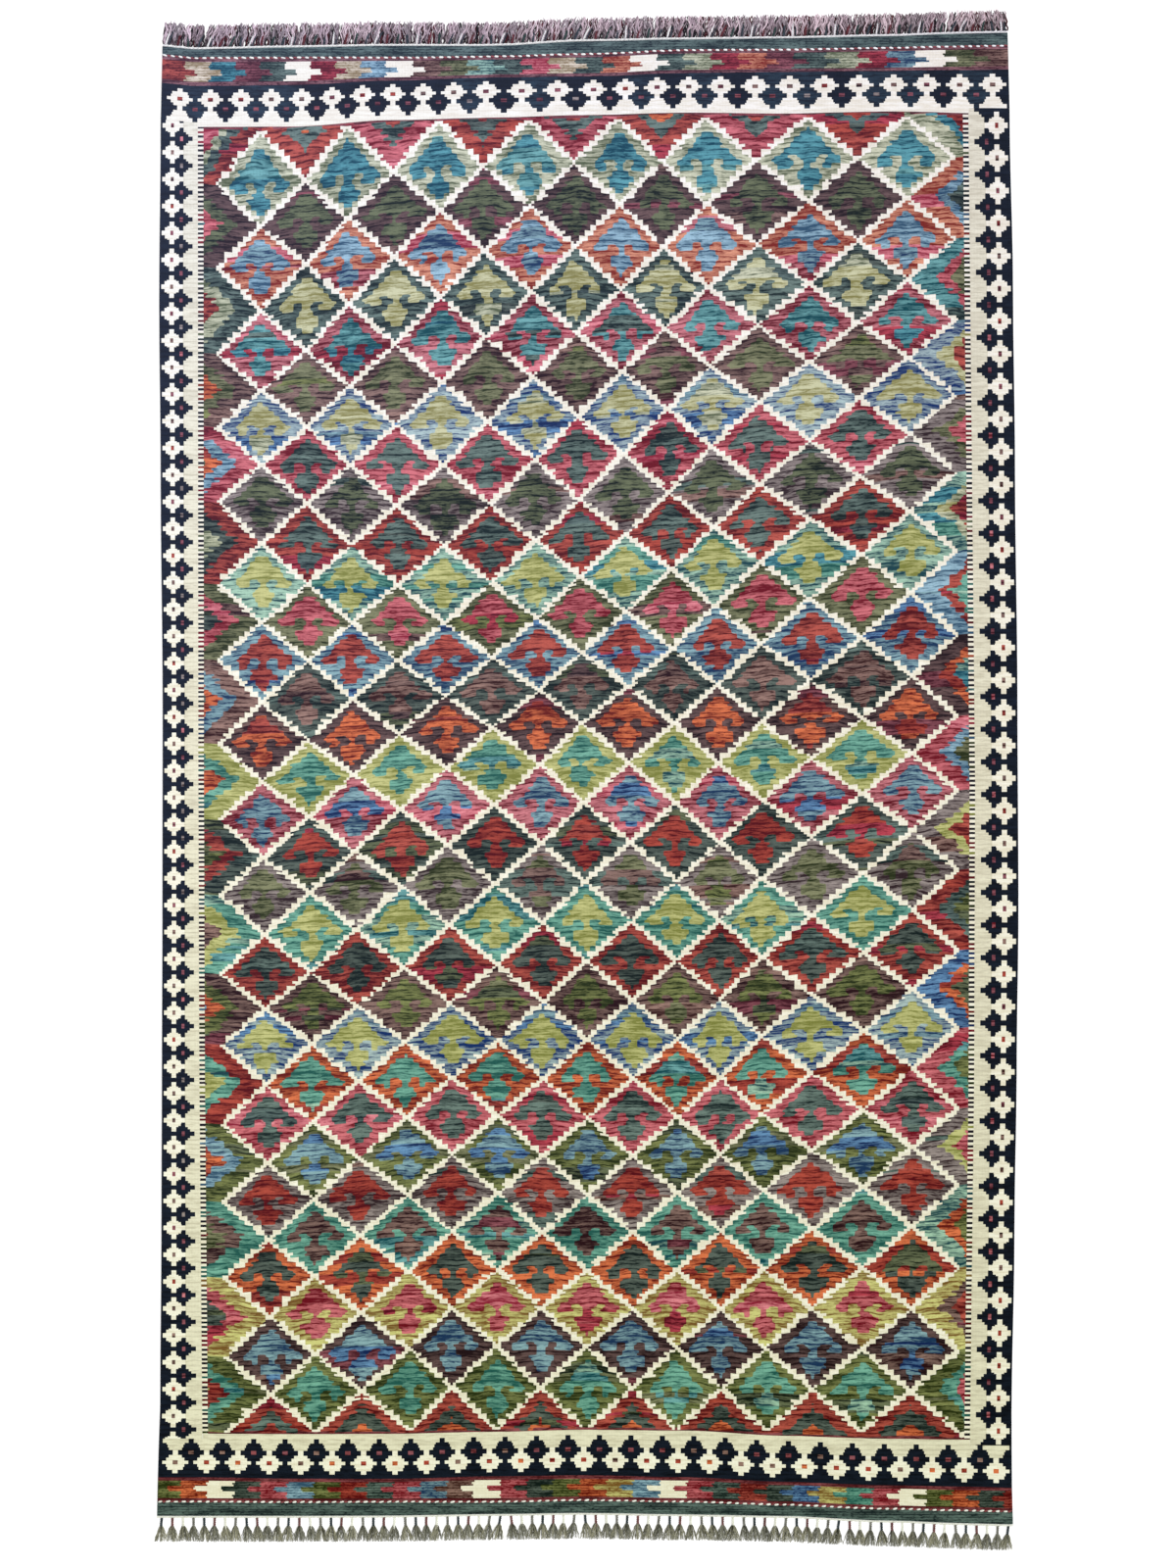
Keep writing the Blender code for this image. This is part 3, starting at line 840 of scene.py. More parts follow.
@dataclass
class Loom:
    """Joins parts into pieces and dyes them, with painted light laid over the dyes."""

    painted_light_and_tone: PaintedLightAndTone
    finish: bpy.types.Material

    def cloth(self, name: str, patches: list) -> bpy.types.Object:
        """Build one laid sheet of cloth, which rides on the rug's body.

        Args:
            name: the piece's name.
            patches: its patches.

        Returns:
            The new object.
        """
        piece = self.piece(name, [patch.part() for patch in patches])
        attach(piece, "root")
        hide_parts(CLOTH_NODE)
        points = np.empty(3 * len(piece.data.vertices), dtype=np.float32)
        piece.data.vertices.foreach_get("co", points)
        return piece

    def piece(self, name: str, parts: list) -> bpy.types.Object:
        """Join parts into one mesh object with its yarns and its two UV maps.

        Args:
            name: the piece's name.
            parts: its parts.

        Returns:
            The new object.
        """
        starts = np.cumsum([0] + [len(part.points) for part in parts])
        faces = np.concatenate([part.faces + start for part, start in zip(parts, starts)])
        points, _, codes, shades, bake, weave = (np.concatenate(column) for column in zip(*parts))
        used = np.zeros(len(points), dtype=bool)
        used[faces.reshape(-1)] = True
        faces = (np.cumsum(used) - 1)[faces]
        points, bake, weave = points[used], bake[used], weave[used]
        first, second, third = points[faces[0, :3]]
        if np.cross(second - first, third - first)[2] < 0.0:
            faces = faces[:, ::-1]
        mesh = bpy.data.meshes.new(name)
        mesh.vertices.add(len(points))
        mesh.vertices.foreach_set("co", points.astype(np.float32).reshape(-1))
        mesh.loops.add(4 * len(faces))
        mesh.loops.foreach_set("vertex_index", faces.astype(np.int32).reshape(-1))
        mesh.polygons.add(len(faces))
        mesh.polygons.foreach_set("loop_start", np.arange(0, 4 * len(faces), 4, dtype=np.int32))
        mesh.update(calc_edges=True)
        middle = points[faces].mean(axis=1)
        for layer_name, dye, alpha in ((DARK_LAYER, DARK_DYE, shades), (LIGHT_LAYER, LIGHT_DYE, 1.0)):
            # the dye with painted light and a painted veil of light laid over it, by where the face lies
            light = self.painted_light_and_tone.dress(dye[codes], middle[:, 0], middle[:, 1])
            paint = np.concatenate((light, np.broadcast_to(alpha, codes.shape)[:, None]), axis=1)
            layer = mesh.color_attributes.new(layer_name, "FLOAT_COLOR", "CORNER")
            layer.data.foreach_set("color", np.repeat(paint, 4, axis=0).astype(np.float32).reshape(-1))
        for layer_name, spots in ((BAKE_LAYER, bake), (WEAVE_LAYER, weave)):
            layer = mesh.uv_layers.new(name=layer_name)
            layer.data.foreach_set("uv", spots[faces.reshape(-1)].astype(np.float32).reshape(-1))
        mesh.materials.append(self.finish)
        mesh.validate()
        mesh.polygons.foreach_set("use_smooth", np.ones(len(mesh.polygons), dtype=bool))
        piece = bpy.data.objects.new(name, mesh)
        bpy.context.scene.collection.objects.link(piece)
        log.info("%s: %d faces", name, len(mesh.polygons))
        return piece


def border_inner(side: Side, y: np.ndarray, out: float = COMB_WIDE) -> np.ndarray:
    """The x of the field's edge on one side, moved out by the comb's width."""
    table = FIELD_LEFT if side is Side.LEFT else FIELD_RIGHT
    return between([getattr(table, name) * MM for name in COLUMN_PLACES], y) + side.value * out


def centres(grid: np.ndarray) -> np.ndarray:
    """The middle of each cell of a grid of corner values."""
    return 0.25 * (grid[:-1, :-1] + grid[1:, :-1] + grid[:-1, 1:] + grid[1:, 1:])


@dataclass
class Web:
    """What every woven run of the rug shares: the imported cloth, its unevenness and the loom."""

    ground: Ground
    cockle: Cockle
    loom: Loom
    join_deep: float = 0.22 * MM     # how far the cloth dips where two colours meet

    def heights(self, codes: np.ndarray, x: np.ndarray, y: np.ndarray) -> np.ndarray:
        """Heights of a grid's corners: the cloth's top face, its cockle and its colour joins.

        Args:
            codes: yarn codes of the cells.
            x: corner points.
            y: corner points.

        Returns:
            z for each corner.
        """
        padded = np.pad(codes, 1, mode="edge")
        corner = [padded[:-1, :-1], padded[:-1, 1:], padded[1:, :-1], padded[1:, 1:]]
        joins = sum((corner[0] != other).astype(float) for other in corner[1:]) > 0
        flat = self.ground.height(x.reshape(-1), y.reshape(-1)).reshape(x.shape)
        return flat + self.cockle.lift(x, y) - self.join_deep * joins


class Whim(NamedTuple):
    """How one diamond's figure departs from the chart, each from -1 to 1."""

    slip: float
    dome: float
    lean: float
    bulb: float
    aside: float


def read_figure(name: str, at: float) -> float:
    """One column of the figure's chart at one step row."""
    steps = [row.step for row in FIGURE_CHART]
    return float(np.interp(at, steps, [getattr(row, name) for row in FIGURE_CHART]))


@dataclass
class DiamondField(Web):
    """The rug's middle: a lattice of diamonds in cream outlines, woven in four sections."""

    edge_cells: int = 5
    first_row: float = 0.28
    last_row: float = 17.14
    sub_rows: int = 2
    sections: int = 4
    rib_high: float = 0.10 * MM
    left_bands: tuple = (7.5, 13.0, 19.0)
    right_bands: tuple = (7.0, 12.0)
    top_bands: tuple = (6.5, 12.0)
    corner_bands: tuple = (5.5, 9.0, 12.5)
    bottom_bands: tuple = (5.5, 11.5)
    line_thick: dict = field(default_factory=lambda: {End.TOP: 3.4 * MM, End.BOTTOM: 4.0 * MM})
    shade_swing: float = 0.30
    run_share: float = 0.6           # of the shade's swing, how much changes with each step row
    broad_share: float = 0.7         # and how much more slowly
    broad_rows: float = 5.0
    redyed_share: float = 0.17
    redyed_run: int = 6              # the most sub-rows that a sister yarn runs for
    bow_high: float = 5.5 * MM
    bow_full: float = 7.0            # cells across, from which on a row bows in full
    bow_middle: float = 0.85         # share of the bow at a diamond's middle
    bow_slope: float = 0.08          # and how much less it is with each step row above
    bow_limits: tuple = (0.3, 1.1)
    stair_odds: tuple = (0.13, 0.96)         # a stair's last cell is added below, dropped above
    weft_odds: tuple = (0.08, 0.97)
    figure_slip: float = 0.3
    dome_growth: float = 0.09
    dome_lean: float = 0.05
    dome_until: float = 1.2
    bulb_growth: float = 0.14
    tooth_slip: float = 0.7
    side_slip: float = 0.4
    rib_cells: int = 9
    round_off: float = 0.13
    first_tall: float = 1.14
    first_drop: float = 0.35
    rows_drop: float = 2.0 * MM
    drop_rows: float = 2.0           # the last rows, over which that drop fades out
    bent_columns: tuple = (1.0, 15.0)        # past these a row runs straight on to the side
    tip_high: float = 0.4            # step rows from a diamond's middle that reach its tips
    point_high: float = 0.65         # how far from its ends the last single cell stops
    band_slips: tuple = (-1, 0, 0, 1)        # cells that a band's edge may slip
    turn_scale: float = 2.0          # wefts turn twice in a step row
    first_stretch: tuple = (1.24, 1.08, 1.0, 1.0, 1.0)
    ripple: Cockle = field(default_factory=lambda: Cockle(24, 1.5 * MM, 0.04, 0.14))
    edge_yarns: dict = field(init=False)

    def column_x(self, column: np.ndarray, y: np.ndarray) -> np.ndarray:
        """Where a place counted in lattice columns lies across the rug.

        Args:
            column: place in columns, from left.
            y: place along the rug.

        Returns:
            x for each point.
        """
        margin = self.edge_cells / HALF_CELLS
        places = [-margin] + list(range(len(DIAMOND_COLUMNS))) + [len(DIAMOND_COLUMNS) - 1 + margin]
        table = (FIELD_LEFT,) + DIAMOND_COLUMNS + (FIELD_RIGHT,)
        lines = []
        for name in COLUMN_PLACES:
            lines.append(np.interp(column, places, [getattr(row, name) * MM for row in table]))
        return between(lines, y)

    def row_y(self, row: np.ndarray, column: np.ndarray) -> np.ndarray:
        """Where a place counted in diamond rows lies along the rug.

        Args:
            row: place in rows, the first full row being 1.
            column: place in lattice columns.

        Returns:
            y for each point.
        """
        numbers = np.arange(1, len(DIAMOND_ROWS) + 1)
        sides = []
        for name, stretch in zip(ROW_STATIONS, self.first_stretch):
            values = np.array([getattr(line, name) * MM for line in DIAMOND_ROWS])
            first, last = values[0] - values[1], values[-2] - values[-1]
            inside = np.interp(row, numbers, values)
            above, below = np.minimum(row - 1.0, 0.0), np.maximum(row - numbers[-1], 0.0)
            fade = np.clip((numbers[-1] - row) / self.drop_rows, 0.0, 1.0)
            inside = inside - self.rows_drop * fade
            sides.append(inside - above * first * stretch - below * last)
        stations = list(ROW_STATIONS.values())
        gap = stations[1] - stations[0]
        place = (np.clip(column, *self.bent_columns) - stations[0]) / gap
        low = np.clip(np.floor(place), 0, len(sides) - 2).astype(int)
        stack = np.stack(sides)
        spread = np.indices(low.shape)
        below = stack[(low, *spread)]
        return below + (place - low) * (stack[(low + 1, *spread)] - below)

    def lattice(self) -> tuple:
        """The corner points of every cell, in columns and rows, and in metres.

        Returns:
            columns, rows, x and y as grids.
        """
        last = HALF_CELLS * (len(DIAMOND_COLUMNS) - 1)
        cells = np.arange(-self.edge_cells, last + self.edge_cells + 1) - 0.5
        cells[0] += 0.5
        cells = np.append(cells, last + self.edge_cells)
        column = cells / HALF_CELLS
        step = 1.0 / (STEP_ROWS * self.sub_rows)
        count = int(round((self.last_row - self.first_row) / step))
        row = self.first_row + step * np.arange(count + 1)
        row = np.round(row / step) * step
        columns, rows = np.meshgrid(column, row)
        y = self.row_y(rows, columns)
        x = self.column_x(columns, y)
        y = y + self.sag(columns, rows)
        top = self.ground.line(End.TOP, "flowers", x)
        bottom = self.ground.line(End.BOTTOM, "flowers", x)
        return columns, rows, x, np.clip(y, bottom, top)

    def chart(self, columns: np.ndarray, rows: np.ndarray) -> np.ndarray:
        """Choose the yarn of every cell.

        Args:
            columns: cell corners in columns.
            rows: cell corners in rows.

        Returns:
            A grid of yarn codes.
        """
        luck = np.random.default_rng(SEED + 1)
        across = HALF_CELLS * 0.5 * (columns[0, :-1] + columns[0, 1:])
        along = STEP_ROWS * 0.5 * (rows[:-1, 0] + rows[1:, 0])
        cells = np.round(across).astype(int)
        codes = np.array([self._weave_row(cells, float(step), luck) for step in along])
        return self.redyed(codes, self.owners(columns, rows))

    def owners(self, columns: np.ndarray, rows: np.ndarray) -> np.ndarray:
        """The lattice column of the diamond that each cell lies in."""
        cell = HALF_CELLS * 0.5 * (columns[:-1, :-1] + columns[1:, 1:])
        step = STEP_ROWS * 0.5 * (rows[:-1, :-1] + rows[1:, 1:])
        odd = 2.0 * np.round((cell / HALF_CELLS - 1.0) / 2.0) + 1.0
        aside = np.abs(cell - HALF_CELLS * odd)
        away = np.abs((step + STEP_ROWS / 2) % STEP_ROWS - STEP_ROWS / 2)
        even = 2.0 * np.round(cell / HALF_CELLS / 2.0)
        lot = np.where(aside + 2.0 * away < HALF_CELLS, odd, even)
        return np.clip(lot, 0, len(DIAMOND_COLUMNS) - 1).astype(int)

    def redyed(self, codes: np.ndarray, lot: np.ndarray) -> np.ndarray:
        """Take up a sister yarn for a run of wefts here and there, diamond by diamond."""
        luck = np.random.default_rng(SEED + 6)
        picks = np.full((len(DIAMOND_COLUMNS), len(codes)), -1)
        for line in picks:
            row = 0
            while row < len(line):
                run = int(luck.integers(1, self.redyed_run + 1))
                if luck.random() < self.redyed_share:
                    line[row:row + run] = luck.integers(0, self.redyed_run)
                row += run
        pick = picks[lot, np.arange(len(codes))[:, None]]
        result = codes.copy()
        for yarn, sisters in SISTER_YARNS.items():
            names = np.array([YARN_CODE[sister] for sister in sisters])
            taken = (codes == YARN_CODE[yarn]) & (pick >= 0)
            result[taken] = names[pick[taken] % len(names)]
        return result

    def whim(self, nested: bool, diamond: int, column: int) -> Whim:
        """How one diamond's figure departs from the chart."""
        luck = np.random.default_rng((SEED, int(nested), diamond, column))
        return Whim(*luck.uniform(-1.0, 1.0, len(Whim._fields)))

    def reach(self, away: float) -> int:
        """How many cells a diamond reaches to each side of its middle, in stairs two cells deep."""
        away = abs(away)
        if away < self.tip_high:
            return CELL_REACH
        if away >= STEP_ROWS / 2 - 1:
            return 0 if away < STEP_ROWS / 2 - self.point_high else -1
        return CELL_REACH - 1 - 2 * math.floor(away)

    def tooth(self, column: int, diamond: int, hand: int, away: float) -> int:
        """A cell more or less at the end of a stair, now and then, as the wefts turn unevenly."""
        whole, half = math.floor(away), math.floor(self.turn_scale * away)
        stair = np.random.default_rng((SEED, column, diamond, hand + 3, whole + 20)).random()
        turn = np.random.default_rng((SEED, column, diamond, hand + 9, half + 40)).random()
        more = int(stair < self.stair_odds[0]) + int(turn < self.weft_odds[0])
        return more - int(stair > self.stair_odds[1]) - int(turn > self.weft_odds[1])

    def _weave_row(self, cells: np.ndarray, step: float, luck: np.random.Generator) -> np.ndarray:
        """Choose the yarns of one sub-row of cells.

        Args:
            cells: the cells, counted from the first column.
            step: the middle of the sub-row in step rows, sixteen to a row of diamonds.
            luck: random numbers.

        Returns:
            One code for each cell.
        """
        codes = np.full(len(cells), YARN_CODE[Yarn.CREAM])
        last = len(DIAMOND_COLUMNS) - 1
        full_rows = len(DIAMOND_ROWS)
        for column in range(last + 1):
            nested = column % 2 == 0
            shift = STEP_ROWS / 2 if nested else 0.0
            near = int(round((step - shift) / STEP_ROWS))
            for diamond in (near - 1, near, near + 1):
                away = step - shift - STEP_ROWS * diamond
                if not (0 if nested else 1) <= diamond <= full_rows - (1 if nested else 0):
                    continue
                if nested and column in (0, last):
                    self._edge_half(codes, cells, column, diamond, away, luck)
                elif nested and diamond == 0:
                    self._end_half(codes, cells, HALF_CELLS * column, away,
                                   TOP_HALVES[(column // 2 + 1) % 2], self.top_bands, luck)
                elif not nested and diamond == full_rows:
                    self._end_half(codes, cells, HALF_CELLS * column, -away, BOTTOM_HALF,
                                   self.bottom_bands, luck)
                elif abs(away) <= FIGURE_ROWS:
                    self._diamond(codes, cells, column, diamond, away)
        return codes

    def _diamond(self, codes: np.ndarray, cells: np.ndarray, column: int, diamond: int,
                 away: float) -> None:
        """Weave one sub-row of a whole diamond: its ring and the figure inside."""
        nested = column % 2 == 0
        line = DIAMOND_ROWS[diamond - 1]
        ring, figure = (line.lower_ring, line.lower_figure) if nested else (line.ring, line.figure)
        middle = HALF_CELLS * column
        reach = self.reach(away)
        whim = self.whim(nested, diamond, column)
        whole = math.floor(away) + 0.5
        at = (whole if abs(whole) > 1.0 else away) + self.figure_slip * whim.slip
        if diamond == 1 and not nested:
            at = at / self.first_tall - self.first_drop
        core, hook_from, hook_to = (read_figure(name, at) for name in ("core", "hook_from", "hook_to"))
        for hand in (-1, 1):
            aside = hand * (cells - middle)
            edge = reach + self.tooth(column, diamond, hand, away)
            codes[(aside >= 0) & (aside <= edge)] = YARN_CODE[ring]
            if core < 0.0:
                continue
            grow = 1.0 + self.bulb_growth * whim.bulb
            if at < self.dome_until:
                grow = 1.0 + self.dome_growth * whim.dome + self.dome_lean * hand * whim.lean
            slip = (self.tooth_slip * self.tooth(column, diamond, 2 * hand, away)
                    + self.side_slip * hand * np.sign(whim.aside))
            inside = (aside >= 0) & (aside <= core * grow + slip)
            if hook_to > hook_from > 0.0:
                inside |= (aside >= hook_from + slip) & (aside <= hook_to * grow + slip)
            codes[inside & (aside < reach - 1.0)] = YARN_CODE[figure]

    def _bands(self, depth: np.ndarray, yarns: tuple, limits: tuple,
               luck: np.random.Generator) -> np.ndarray:
        """Pick nested band yarns by depth from the outline."""
        slip = luck.choice(self.band_slips, size=len(limits))
        level = np.zeros(len(depth), dtype=int)
        for limit, move in zip(limits, slip):
            level += depth > limit + move
        names = np.array([YARN_CODE[yarn] for yarn in yarns])
        return names[np.clip(level, 0, len(yarns) - 1)]

    def _half(self, codes: np.ndarray, aside: np.ndarray, rise: float, bands: tuple,
              limits: tuple, tooth: int, luck: np.random.Generator) -> None:
        """Weave one sub-row of a half diamond in nested bands.

        Args:
            codes: the sub-row's codes, which it changes.
            aside: each cell's distance from the diamond's middle.
            rise: step rows from the middle to the sub-row, towards the tip.
            bands: the yarns, from the outline inwards.
            limits: how many cells deep each band but the last runs.
            tooth: cells more or less at the end of the stair.
            luck: random numbers.
        """
        depth = self.reach(max(rise, 0.0)) - aside + 2 * max(0, math.ceil(-rise)) + tooth
        reach = (depth >= 0) & (aside <= (CELL_REACH if rise >= 0 else HALF_CELLS))
        codes[reach] = self._bands(depth, bands, limits, luck)[reach]

    def _edge_half(self, codes: np.ndarray, cells: np.ndarray, column: int, diamond: int,
                   away: float, luck: np.random.Generator) -> None:
        """Weave one sub-row of a half diamond at a side of the field."""
        left, corner = column == 0, diamond == 0
        rise = away if corner else abs(away)
        if rise > STEP_ROWS / 2:
            return
        row = DIAMOND_ROWS[diamond - 1]
        if left:
            bands = TOP_LEFT_BANDS if corner else row.left_bands
            limits = self.corner_bands if corner else self.left_bands
        else:
            bands, limits = TOP_RIGHT_BANDS if corner else row.right_bands, self.right_bands
        inward = cells if left else HALF_CELLS * column - cells
        self._half(codes, inward, rise, bands, limits, self.tooth(column, diamond, 1, away), luck)

    def _end_half(self, codes: np.ndarray, cells: np.ndarray, middle: int, away: float,
                  bands: tuple, limits: tuple, luck: np.random.Generator) -> None:
        """Weave one sub-row of a half diamond at an end of the field; away grows towards its tip."""
        if away <= FIGURE_ROWS:
            aside = np.abs(cells - middle)
            self._half(codes, aside, away, bands, limits, self.tooth(middle, 0, 1, away), luck)

    def shades(self, columns: np.ndarray, rows: np.ndarray) -> np.ndarray:
        """How light the yarn runs in each cell: it changes every few rows, diamond by diamond."""
        luck = np.random.default_rng(SEED + 5)
        along = STEP_ROWS * 0.5 * (rows[:-1, 0] + rows[1:, 0])
        slow = along / self.broad_rows
        runs = luck.uniform(-1.0, 1.0, (len(DIAMOND_COLUMNS), int(along[-1]) + 3))
        broad = luck.uniform(-1.0, 1.0, (len(DIAMOND_COLUMNS), int(slow[-1]) + 3))
        place = np.floor(along).astype(int)
        table = np.array([self.run_share * line[place]
                          + self.broad_share * np.interp(slow, np.arange(len(wide)), wide)
                          for line, wide in zip(runs, broad)])
        lot = self.owners(columns, rows)
        return PLAIN_SHADE + self.shade_swing * table[lot, np.arange(len(along))[:, None]]

    def sag(self, columns: np.ndarray, rows: np.ndarray) -> np.ndarray:
        """How far the wefts bow up over the middle of each diamond, at each cell corner."""
        cell, step = HALF_CELLS * columns, STEP_ROWS * rows
        best = np.zeros(columns.shape)
        for shift_cell, shift_step in ((HALF_CELLS, 0.0), (0.0, STEP_ROWS / 2)):
            aside = np.abs((cell - shift_cell + HALF_CELLS) % (2 * HALF_CELLS) - HALF_CELLS)
            away = (step - shift_step + STEP_ROWS / 2) % STEP_ROWS - STEP_ROWS / 2
            span = HALF_CELLS - 2.0 * np.abs(away)
            inside = aside < span
            share = np.clip(aside / np.maximum(span, TINY), 0.0, 1.0)
            bow = (1.0 - share ** 2) * np.clip(span / self.bow_full, 0.0, 1.0)
            bow *= np.clip(self.bow_middle - self.bow_slope * away, *self.bow_limits)
            best = np.where(inside, bow, best)
        return self.bow_high * best

    def rounded(self, codes: np.ndarray, x: np.ndarray, y: np.ndarray) -> tuple:
        """Round the corners of the stairs: a corner point moves into the odd cell of its four.

        Args:
            codes: yarn codes of the cells.
            x: corner points.
            y: corner points.

        Returns:
            The moved x and y.
        """
        low_left, low_right = codes[:-1, :-1], codes[:-1, 1:]
        high_left, high_right = codes[1:, :-1], codes[1:, 1:]
        moved_x, moved_y = x.copy(), y.copy()
        cream = YARN_CODE[Yarn.CREAM]
        cases = ((low_left, (low_right, high_left, high_right), -1, -1),
                 (low_right, (low_left, high_left, high_right), -1, 1),
                 (high_left, (low_left, low_right, high_right), 1, -1),
                 (high_right, (low_left, low_right, high_left), 1, 1))
        for odd, (one, two, three), down, over in cases:
            lone = (one == two) & (two == three) & (odd != one) & (odd != cream) & (one != cream)
            r, c = np.nonzero(lone)
            r, c = r + 1, c + 1
            moved_x[r, c] = x[r, c] + self.round_off * (x[r, c + over] - x[r, c])
            moved_y[r, c] = y[r, c] + self.round_off * (y[r + down, c] - y[r, c])
        return moved_x, moved_y

    def relief(self, codes: np.ndarray, x: np.ndarray, y: np.ndarray) -> np.ndarray:
        """Heights of the cell corners over the cloth's top face.

        Args:
            codes: yarn codes of the cells.
            x: corner points.
            y: corner points.

        Returns:
            z for each corner.
        """
        luck = np.random.default_rng(SEED + 2)
        coarse = luck.uniform(-1.0, 1.0, (x.shape[0], x.shape[1] // self.rib_cells + 2))
        stations = np.arange(coarse.shape[1]) * float(self.rib_cells)
        ribs = np.array([np.interp(np.arange(x.shape[1]), stations, line) for line in coarse])
        return self.heights(codes, x, y) + self.rib_high * ribs

    def edge_yarn(self, side: Side, y: np.ndarray) -> np.ndarray:
        """The yarn code at the field's edge on one side, at each y; cream counts as shadow."""
        places, codes = self.edge_yarns[side]
        found = codes[np.clip(np.searchsorted(places, y), 0, len(codes) - 1)]
        return np.where(found == YARN_CODE[Yarn.CREAM], YARN_CODE[Yarn.SHADOW], found)

    def build(self) -> list:
        """Weave the four sections.

        Returns:
            The pieces.
        """
        columns, rows, x, y = self.lattice()
        codes = self.chart(columns, rows)
        middle_y = centres(y)
        for end, thick in self.line_thick.items():
            edge = self.ground.line(end, "flowers", centres(x))
            codes[end.value * (edge - middle_y) < thick] = YARN_CODE[Yarn.DARK_RED]
        self.edge_yarns = {Side.LEFT: (middle_y[::-1, 0], codes[::-1, 0]),
                           Side.RIGHT: (middle_y[::-1, -1], codes[::-1, -1])}
        z = self.relief(codes, x, y)
        weave_y = -STEP_ROWS * BAND_PITCH * rows + self.ripple.lift(x, y)
        x, y = self.rounded(codes, x, y)
        shade = self.shades(columns, rows)
        pieces = []
        cuts = np.linspace(0, codes.shape[0], self.sections + 1).astype(int)
        for number, (low, high) in enumerate(zip(cuts, cuts[1:]), start=1):
            span = slice(low, high + 1)
            patch = Patch(x[span], y[span], z[span], weave_y[span], codes[low:high], shade[low:high])
            pieces.append(self.loom.cloth("diamond_field_%d" % number, [patch]))
        return pieces


@dataclass
class FlowerBorder(Web):
    """The cream and navy reciprocal flower border: one run along an end or a side."""

    flowers: tuple = SIDE_FLOWER_CHART
    band_yarn: Yarn = Yarn.IVORY
    navy_yarns: tuple = (Yarn.NAVY,)
    first_flower: int = -1
    last_flower: int = 99
    dots_from: int = 0
    dots_to: int = 99
    cream_dots: tuple = (Yarn.PLUM_BROWN, Yarn.MULBERRY, Yarn.BROWN, Yarn.CRIMSON)
    navy_dots: tuple = (Yarn.DUSTY_ROSE, Yarn.MULBERRY, Yarn.MAUVE_GREY, Yarn.MULBERRY)

    def drawn(self, kind: int, yarns: tuple, numbers: np.ndarray) -> np.ndarray:
        """Draw one of a few yarns for each flower."""
        picks = np.random.default_rng((SEED, kind, self.lot())).integers(0, len(yarns), PICKS)
        return np.array([YARN_CODE[yarn] for yarn in yarns])[picks[numbers % PICKS]]

    def row_yarns(self, row: int, flowers: np.ndarray) -> np.ndarray:
        """Choose the yarns of one row of the border.

        Args:
            row: the row, from the outer edge inwards.
            flowers: each cell's place, in flowers.

        Returns:
            A code for each cell.
        """
        line = self.flowers[row]
        below, number = np.floor(flowers).astype(int), np.round(flowers).astype(int)
        codes = self.drawn(NAVY_GROUND, self.navy_yarns, below)
        aside = np.abs(flowers - number) * FLOWER_CELLS
        whole = (number >= self.first_flower) & (number <= self.last_flower)
        inner = row > max(n for n, other in enumerate(self.flowers) if other.dot is Yarn.NAVY)
        codes[(aside < 0.5 * line.cream) & whole] = YARN_CODE[self.band_yarn if inner else Yarn.CREAM]
        if line.dot is Yarn.CREAM:
            dots = (aside < DOT_CELLS) & whole
            codes[dots] = self.drawn(CREAM_DOTS, self.cream_dots, number)[dots]
        elif line.dot is Yarn.NAVY:
            dots = aside > 0.5 * FLOWER_CELLS - DOT_CELLS
            dots &= (below >= self.dots_from) & (below < self.dots_to)
            codes[dots] = self.drawn(NAVY_DOTS, self.navy_dots, below)[dots]
        return codes

    def chart(self, cells: np.ndarray) -> np.ndarray:
        """Yarn codes of every row, from the outer edge inwards; cells are the corners, in flowers."""
        middle = 0.5 * (cells[:-1] + cells[1:])
        return np.array([self.row_yarns(row, middle) for row in range(len(self.flowers))])

    def lot(self) -> int:
        """A number of its own for each border."""
        return 0

    def rows(self) -> np.ndarray:
        """Depths of the lines between the rows, as shares of the border's width."""
        weights = [row.deep for row in self.flowers]
        return np.concatenate(([0.0], np.cumsum(weights))) / sum(weights)

    def corner_line(self, end: End, x: np.ndarray) -> np.ndarray:
        """The line at one end of the rug where a side border takes over from the end border."""
        outer = self.ground.line(end, "medley", x)
        return outer + CORNER_SHARE * (self.ground.line(end, "flowers", x) - outer)


